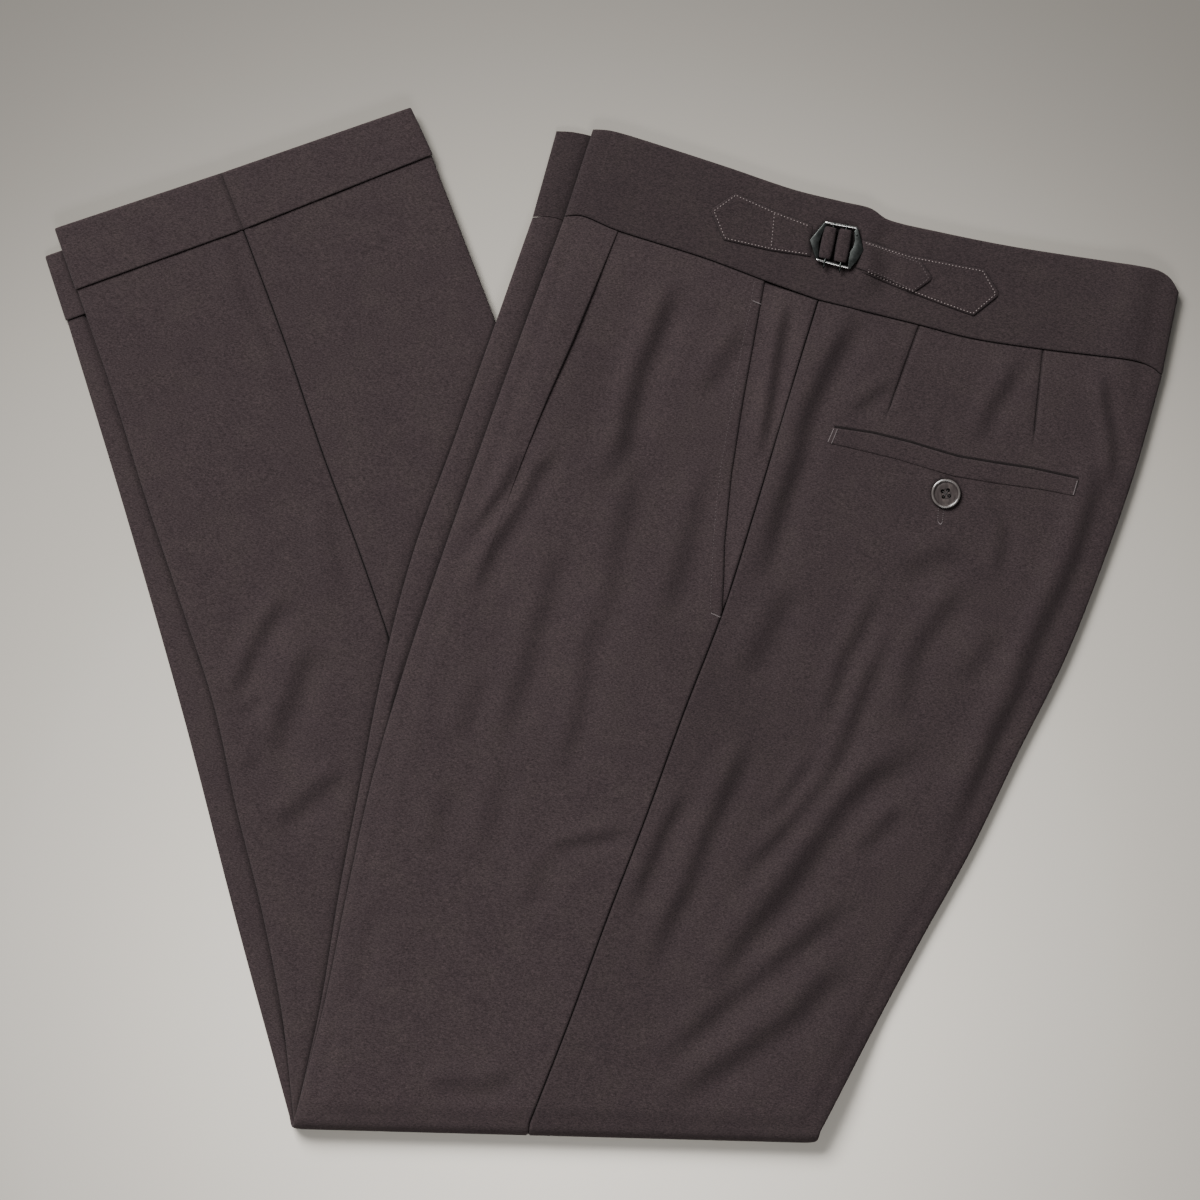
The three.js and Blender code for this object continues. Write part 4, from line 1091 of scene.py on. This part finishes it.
horn = horn_of("dark_horn", [
    (0.35, (0.023, 0.018, 0.0175)), (0.55, (0.038, 0.031, 0.030)), (0.75, (0.066, 0.054, 0.050)),
])
horn_painted_highlight = horn_of("horn_painted_highlight", [
    (0.35, (0.060, 0.053, 0.050)), (0.55, (0.085, 0.077, 0.073)), (0.75, (0.12, 0.110, 0.104)),
])


def round_button(reach, angle):
    """A place at a distance from the button's middle, at an angle in radians."""
    return (BUTTON[0] + reach * math.cos(angle), BUTTON[1] + reach * math.sin(angle))


button_ground = lie_on(seat, [round_button(6, angle) for angle in range(6)]).max()
button_seat = (*BUTTON, button_ground + 0.15)
drill = bmesh.new()
for corner in range(4):
    spot = round_button(HOLE_REACH, math.radians(HOLE_TURN + 90 * corner))
    bmesh.ops.create_cone(drill, cap_ends=True, segments=20, radius1=HOLE_RADIUS * MM,
                          radius2=HOLE_RADIUS * MM, depth=6 * MM,
                          matrix=Matrix.Translation(placed((*spot, button_seat[2] + 1))))
drills = in_scene("drill", mesh_of("drill", drill))
blank_body = mesh_of("button_body", turned(BUTTON_PROFILE, BUTTON_TURNS, button_seat))
blank = in_scene("button_blank", blank_body)
cut = blank.modifiers.new("holes", "BOOLEAN")
cut.operation = "DIFFERENCE"
cut.solver = "EXACT"
cut.object = drills
drilled = bpy.data.meshes.new_from_object(blank.evaluated_get(bpy.context.evaluated_depsgraph_get()))
for helper in (drills, blank):
    bpy.data.objects.remove(helper)
bm = bmesh.new()
bm.from_mesh(drilled)
sharp_edges(bm, 0.6)
button_middle = Vector(placed(button_seat)).xy
# The ring on the rim takes the paler horn: a painted highlight.
for face in bm.faces:
    reach = (face.calc_center_median().xy - button_middle).length
    face.material_index = int(BUTTON_HIGHLIGHT_RING[0] * MM < reach < BUTTON_HIGHLIGHT_RING[1] * MM)
button = finished(bm, "back_pocket_button_horn", horn, ["back_pocket_button"])
button.data.materials.append(horn_painted_highlight)


# The side adjuster: a stitched tab at the front of the waistband, a longer one behind it, and the
# strap that comes back through the buckle and lies on the back tab with its pointed end free.
TAB = 1.0
FRONT_TAB = [
    (213.2, 502.0, 212.8, 500.0), (225.7, 510.8, 219.9, 485.1), (247.2, 501.7, 245.6, 480.0),
    (267.6, 494.6, 267.2, 477.4),
]
BACK_TAB = [
    (296.4, 486.9, 294.8, 469.8), (322.0, 479.6, 316.5, 461.2), (350.2, 474.9, 338.4, 453.5),
    (360.8, 473.3, 355.6, 447.8), (369.0, 461.0, 368.4, 458.6),
]
STRAP = [
    (294.0, 487.4, 291.4, 472.2), (312.0, 481.5, 308.5, 466.0), (326.6, 476.6, 322.9, 459.4),
    (332.9, 468.2, 332.2, 466.2),
]


def sew_tab(node, table, *beneath):
    """A tab or a strap of the adjuster, on the pieces beneath it."""
    bm = sew_trim(tree_of(*beneath), table, TAB, 10)
    return finished(bm, f"{node}_cloth", band_flannel_painted_shade, [node])


left_band = bpy.data.objects["waistband_left_cloth"]
front_tab = sew_tab("adjuster_front_tab", FRONT_TAB, left_band)
back_tab = sew_tab("adjuster_back_tab", BACK_TAB, left_band)
strap = sew_tab("adjuster_strap", STRAP, back_tab, left_band)


# The buckle: two bent side plates of blackened metal joined by a rod at the top and at the
# bottom, with two prongs that hang on the top rod and rest on the bottom one.
PLATE = 1.3
ROD_RADIUS = 0.72
PRONG_RADIUS = 0.6
FRONT_PLATE = [
    (266.2, 486.2), (270.0, 475.4), (271.4, 476.4), (271.2, 480.6), (271.3, 485.2), (272.9, 490.0),
    (275.4, 494.8), (274.4, 496.6),
]
BACK_PLATE = [
    (291.9, 494.0), (290.2, 491.6), (290.5, 486.6), (290.0, 483.6), (288.3, 480.6), (287.6, 476.8),
    (287.2, 473.2), (288.2, 471.3), (292.2, 476.0), (295.6, 481.6),
]
TOP_ROD = ((274.2, 496.1), (291.9, 493.5))
BOTTOM_ROD = ((269.9, 476.0), (288.0, 471.9))
RIVET = (291.4, 489.6)
RIVET_RADIUS = 0.6
PRONGS = [  # where each hangs on the top rod, rests on the bottom one, and ends
    ((279.3, 495.4), (274.6, 474.9), (273.9, 471.0)),
    ((286.0, 494.4), (283.1, 473.0), (282.7, 469.2)),
]


def metal_of(name, mottle, dark, light, roughness, grain=0.0):
    """Metal with a mottle of a size, a detail and a roughness, and a grain if it has one."""
    material, tree, shader, place = shader_of(name)
    colour = ramp_of(tree, noise_of(tree, place, *mottle), [(0.35, dark), (0.7, light)])
    tree.links.new(colour, shader.inputs["Base Color"])
    if grain:
        fine = noise_of(tree, place, 0.25, 2)
        tree.links.new(bump_of(tree, fine, 0.02, grain), shader.inputs["Normal"])
    shader.inputs["Metallic"].default_value = 1.0
    shader.inputs["Roughness"].default_value = roughness
    return material


blackened = metal_of("blackened_metal", (2.2, 4, 0.6), (0.030, 0.033, 0.032),
                     (0.058, 0.063, 0.061), 0.42, 0.4)
worn = metal_of("worn_metal", (1.2, 3), (0.42, 0.42, 0.41), (0.66, 0.66, 0.65), 0.2)


def add_plate(bm, outline, low, thickness, bevel):
    """A flat plate with softened edges."""
    verts = [bm.verts.new(placed((x, y, low))) for x, y in outline]
    made = bmesh.ops.extrude_face_region(bm, geom=[bm.faces.new(verts)], use_keep_orig=True)
    lifted = [item for item in made["geom"] if isinstance(item, bmesh.types.BMVert)]
    bmesh.ops.translate(bm, verts=lifted, vec=(0, 0, thickness * MM))
    rims = list({edge for vert in verts + lifted for edge in vert.link_edges})
    bmesh.ops.bevel(bm, geom=rims, offset=bevel * MM, offset_type="OFFSET", segments=2, profile=0.5,
                    affect="EDGES", material=-1, clamp_overlap=True)


def add_tube(bm, points, radii, sides=14):
    """A round bar through places in the fold frame, closed at both ends."""
    places = [Vector(placed(point)) for point in points]
    last = len(places) - 1
    rings = []
    for i, (place, radius) in enumerate(zip(places, radii)):
        way = places[min(i + 1, last)] - places[max(i - 1, 0)]
        turn = way.to_track_quat("Z", "Y").to_matrix().to_4x4()
        ends = i in (0, last)
        ring = bmesh.ops.create_circle(bm, cap_ends=ends, segments=sides, radius=radius * MM,
                                       matrix=Matrix.Translation(place) @ turn)["verts"]
        rings.append([edge for edge in bm.edges if edge.verts[0] in ring and edge.verts[1] in ring])
    for near, far in zip(rings, rings[1:]):
        bmesh.ops.bridge_loops(bm, edges=near + far)


def add_rod(bm, start, end, radius):
    """A straight bar whose ends are domes."""
    start, end = np.array(start, dtype=float), np.array(end, dtype=float)
    length = np.linalg.norm(end - start)
    angles = np.radians([10, 35, 60, 90])
    shares = [(radius * (1 - math.cos(a)) / length, radius * math.sin(a)) for a in angles]
    shares += [(1 - along, r) for along, r in shares[::-1]]
    add_tube(bm, [mix(start, end, along) for along, _ in shares], [r for _, r in shares])


buckle_low, buckle_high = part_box("buckle_frame")
buckle_z = (buckle_low[2] + buckle_high[2]) / 2 / MM
bm = bmesh.new()
for outline in (FRONT_PLATE, BACK_PLATE):
    add_plate(bm, outline, buckle_z - PLATE / 2, PLATE, 0.3)
plates = set(bm.faces)
for ends in (TOP_ROD, BOTTOM_ROD):
    add_rod(bm, *((x, y, buckle_z + 0.25) for x, y in ends), ROD_RADIUS)
for face in bm.faces:
    face.material_index = 0 if face in plates else 1
rod_way = np.subtract(*TOP_ROD[::-1]) / np.hypot(*np.subtract(*TOP_ROD[::-1]))
prong_steps = np.linspace(0, 1, 22)
prong_radii = np.interp(prong_steps, [0, 0.8, 1], [PRONG_RADIUS, PRONG_RADIUS, 0.18])
for prong in PRONGS:
    hung, rest, tip = np.array(prong)
    add_rod(bm, (*(hung - 0.9 * rod_way), buckle_z), (*(hung + 0.9 * rod_way), buckle_z),
            ROD_RADIUS + 0.45)
    line = [
        (*hung, buckle_z), (*mix(hung, rest, 0.5), buckle_z - 0.2),
        (*mix(hung, rest, 0.9), buckle_z + 0.5), (*rest, buckle_z + 1.25),
        (*mix(rest, tip, 0.6), buckle_z + 0.7), (*tip, buckle_z - 0.5),
    ]
    add_tube(bm, through(line, len(prong_steps)), prong_radii)
bmesh.ops.create_uvsphere(bm, u_segments=12, v_segments=8, radius=RIVET_RADIUS * MM,
                          matrix=Matrix.Translation(placed((*RIVET, buckle_z + PLATE / 2))))
bmesh.ops.recalc_face_normals(bm, faces=bm.faces[:])
sharp_edges(bm, 0.7)
buckle = finished(bm, "adjuster_buckle_metal", blackened, ["buckle_frame"])
buckle.data.materials.append(worn)


# The two loops of flannel that are folded round the prongs: the front tab's end and the strap's.
LOOPS = [  # top and bottom of each, its width, and the solid that it stands for
    ((277.6, 493.6), (274.4, 476.6), 7.2, "adjuster_loop_front"),
    ((285.6, 492.6), (282.9, 474.9), 7.6, "adjuster_loop_back"),
]
LOOP_HEIGHT = 2.1  # each way from the prong
LOOP_WALL = 0.9
LOOP_ROWS = 26
LOOP_TURNS = 28
LOOP_BLUNTNESS = 0.75
for top, bottom, width, node in LOOPS:
    axis = np.subtract(bottom, top)
    side = np.array([axis[1], -axis[0]]) / np.hypot(*axis)
    angles = np.linspace(0, 2 * math.pi, LOOP_TURNS + 1)
    angles[-1] = 0.0
    sections = []
    for t in (1 - np.cos(np.linspace(0, math.pi, LOOP_ROWS))) / 2:
        soft = edge_roll(min(t, 1 - t) * np.hypot(*axis), 0.85, 1.8)
        belly = 0.9 + 0.1 * math.sin(math.pi * t)
        rings = []
        for inset in (soft * LOOP_WALL, LOOP_WALL):
            reach = (belly * width / 2 - inset) * blunt(np.cos(angles), LOOP_BLUNTNESS)
            rise = (LOOP_HEIGHT - inset) * blunt(np.sin(angles), LOOP_BLUNTNESS)
            spots = np.array(top) + axis * t + side * reach[:, None]
            rings.append(np.column_stack([spots, buckle_z + rise]))
        sections.append(rings)
    loop = finished(cloth_wall(sections), f"{node}_cloth", band_flannel_painted_shade, [node])


# The stitching: pale thread round the tabs and along the pocket mouth, bar tacks at the pockets'
# ends, and the buttonhole's worked edge.
def thread_of(name, colour):
    """Spun polyester thread, with its twist."""
    material, tree, shader, place = shader_of(name)
    twist = noise_of(tree, place, 0.25, 2)
    pale = tuple(min(1.0, 1.5 * c) for c in colour)
    deep = tuple(0.6 * c for c in colour)
    tree.links.new(ramp_of(tree, twist, [(0.35, deep), (0.65, pale)]), shader.inputs["Base Color"])
    tree.links.new(bump_of(tree, twist, 0.05, 0.6), shader.inputs["Normal"])
    shader.inputs["Roughness"].default_value = 0.7
    return material


pale_thread = thread_of("pale_thread", (0.15, 0.124, 0.121))
dull_thread = thread_of("dull_thread", (0.062, 0.048, 0.049))


def add_stitch(bm, tree, ends, thick, lift):
    """One stitch on a piece: a short stretch of thread that sinks in at both ends."""
    heights = lie_on(tree, ends) + lift
    start, end = (Vector(placed((*spot, height))) for spot, height in zip(ends, heights))
    along = end - start
    turn = along.to_track_quat("X", "Z").to_matrix().to_4x4()
    size = Matrix.Diagonal((along.length / 2, thick / 2 * MM, thick / 2 * MM, 1))
    bmesh.ops.create_uvsphere(bm, u_segments=6, v_segments=4, radius=1,
                              matrix=Matrix.Translation((start + end) / 2) @ turn @ size)


def stitch_line(bm, tree, points, pitch, length, thick, lift=0.02):
    """A run of stitches along a line on a piece."""
    points = np.array(points, dtype=float)
    steps = np.hypot(*np.diff(points, axis=0).T)
    places = np.concatenate([[0], np.cumsum(steps)])
    for at in np.arange(pitch / 2, places[-1] - length / 2, pitch):
        both = (at - length / 2, at + length / 2)
        ends = np.column_stack([np.interp(both, places, points[:, i]) for i in (0, 1)])
        add_stitch(bm, tree, ends, thick, lift)


def inside_line(path, inset):
    """A line a little way inside an open outline."""
    path = np.array(path, dtype=float)
    centre = path.mean(axis=0)
    sides = []
    for a, b in zip(path, path[1:]):
        along = (b - a) / np.hypot(*(b - a))
        inwards = np.array([-along[1], along[0]])
        inwards *= np.sign((centre - a) @ inwards)
        sides.append((a + inset * inwards, b + inset * inwards, along))
    line = [sides[0][0]]
    for (a, _, u), (b, _, v) in zip(sides, sides[1:]):
        line.append(a + u * crossing(a, u, b, v))
    return line + [sides[-1][1]]


TAB_INSET = 1.2
TAB_PITCH = 1.85
FRONT_TAB_EDGE = [
    (266.0, 495.1), (247.2, 501.7), (225.7, 510.8), (212.9, 501.0), (219.9, 485.1), (245.6, 480.0),
    (266.0, 477.6),
]
BACK_TAB_EDGE = [
    (296.4, 486.9), (322.0, 479.6), (350.2, 474.9), (360.8, 473.3), (368.8, 459.8), (355.6, 447.8),
    (338.4, 453.5), (316.5, 461.2), (296.0, 469.6),
]
STRAP_EDGE = [
    (297.4, 486.2), (312.0, 481.5), (326.6, 476.6), (332.6, 467.2), (322.9, 459.4), (308.5, 466.0),
    (296.6, 470.7),
]
on_tabs = tree_of(front_tab, back_tab, strap, left_band)
bm = bmesh.new()
for edge in (FRONT_TAB_EDGE, BACK_TAB_EDGE):
    stitch_line(bm, on_tabs, inside_line(edge, TAB_INSET), TAB_PITCH, 1.0, 0.56)
stitch_line(bm, on_tabs, [(247.0, 500.6), (245.6, 481.2)], TAB_PITCH, 1.0, 0.5)
sharp_edges(bm, 3)
finished(bm, "tab_stitches", pale_thread)

bm = bmesh.new()
stitch_line(bm, on_tabs, inside_line(STRAP_EDGE, TAB_INSET), TAB_PITCH, 1.0, 0.42)
MOUTH_LINE = [
    (243.4, 464.6), (241.6, 451.1), (237.3, 427.2), (234.1, 405.0), (231.0, 383.8), (227.8, 362.7),
    (225.8, 340.1), (224.8, 315.3), (224.3, 287.5),
]
on_front = tree_of(left_front)
stitch_line(bm, on_front, [(x - 6.2, y - 1) for x, y in MOUTH_LINE], 1.9, 1.0, 0.3, 0.0)
sharp_edges(bm, 3)
finished(bm, "pocket_stitches", dull_thread)


def bar_tack(bm, tree, start, end, width=0.9):
    """A row of close stitches across a line."""
    start, end = np.array(start), np.array(end)
    way = end - start
    length = np.hypot(*way)
    across = np.array([-way[1], way[0]]) / length * width / 2
    for along in np.arange(0.2, length, 0.42):
        spot = start + way * along / length
        add_stitch(bm, tree, np.array([spot - across, spot + across]), 0.42, 0.12)


on_seat = tree_of(left_back, welt)
on_mouth = tree_of(left_front, facing, left_back)
bm = bmesh.new()
bar_tack(bm, on_mouth, (236.6, 452.9), (241.4, 451.0))
bar_tack(bm, on_mouth, (218.6, 284.0), (223.8, 281.9))
bar_tack(bm, on_seat, (413.9, 360.6), (411.8, 352.9))
bar_tack(bm, on_seat, (282.0, 385.2), (279.0, 377.6), 0.7)
bar_tack(bm, on_seat, (284.0, 384.9), (281.0, 377.0), 0.7)
HOLE_EDGE = [
    (339.5, 344.2), (339.3, 337.6), (340.2, 335.6), (341.2, 335.4), (341.9, 337.4), (342.3, 344.2),
]
hole_line = through(HOLE_EDGE, 30)
for a, b in zip(hole_line, hole_line[1:]):
    middle = (a + b) / 2
    out = np.array([b[1] - a[1], a[0] - b[0]]) / np.hypot(*(b - a)) * 0.3
    add_stitch(bm, seat, np.array([middle - out, middle + out]), 0.36, 0.1)
sharp_edges(bm, 3)
finished(bm, "bar_tacks", thread_of("tack_thread", (0.1, 0.082, 0.084)))

SHANK_RADIUS = 2.6
THREAD_RADIUS = 0.26
THREAD_ARCH = [(-1, 0.4), (-0.8, 0.97), (0, 1.15), (0.8, 0.97), (1, 0.4)]  # from hole to hole
bm = bmesh.new()
add_rod(bm, (*BUTTON, button_seat[2] - 1.2), (*BUTTON, button_seat[2] + 0.4), SHANK_RADIUS)
for turn in (HOLE_TURN, HOLE_TURN + 90):
    angle = math.radians(turn)
    arch = [
        (*round_button(share * HOLE_REACH, angle), button_seat[2] + rise)
        for share, rise in THREAD_ARCH
    ]
    add_tube(bm, through(arch, 13), [THREAD_RADIUS] * 13, 8)
sharp_edges(bm, 1)
finished(bm, "button_thread", thread_of("button_thread", (0.012, 0.010, 0.010)))
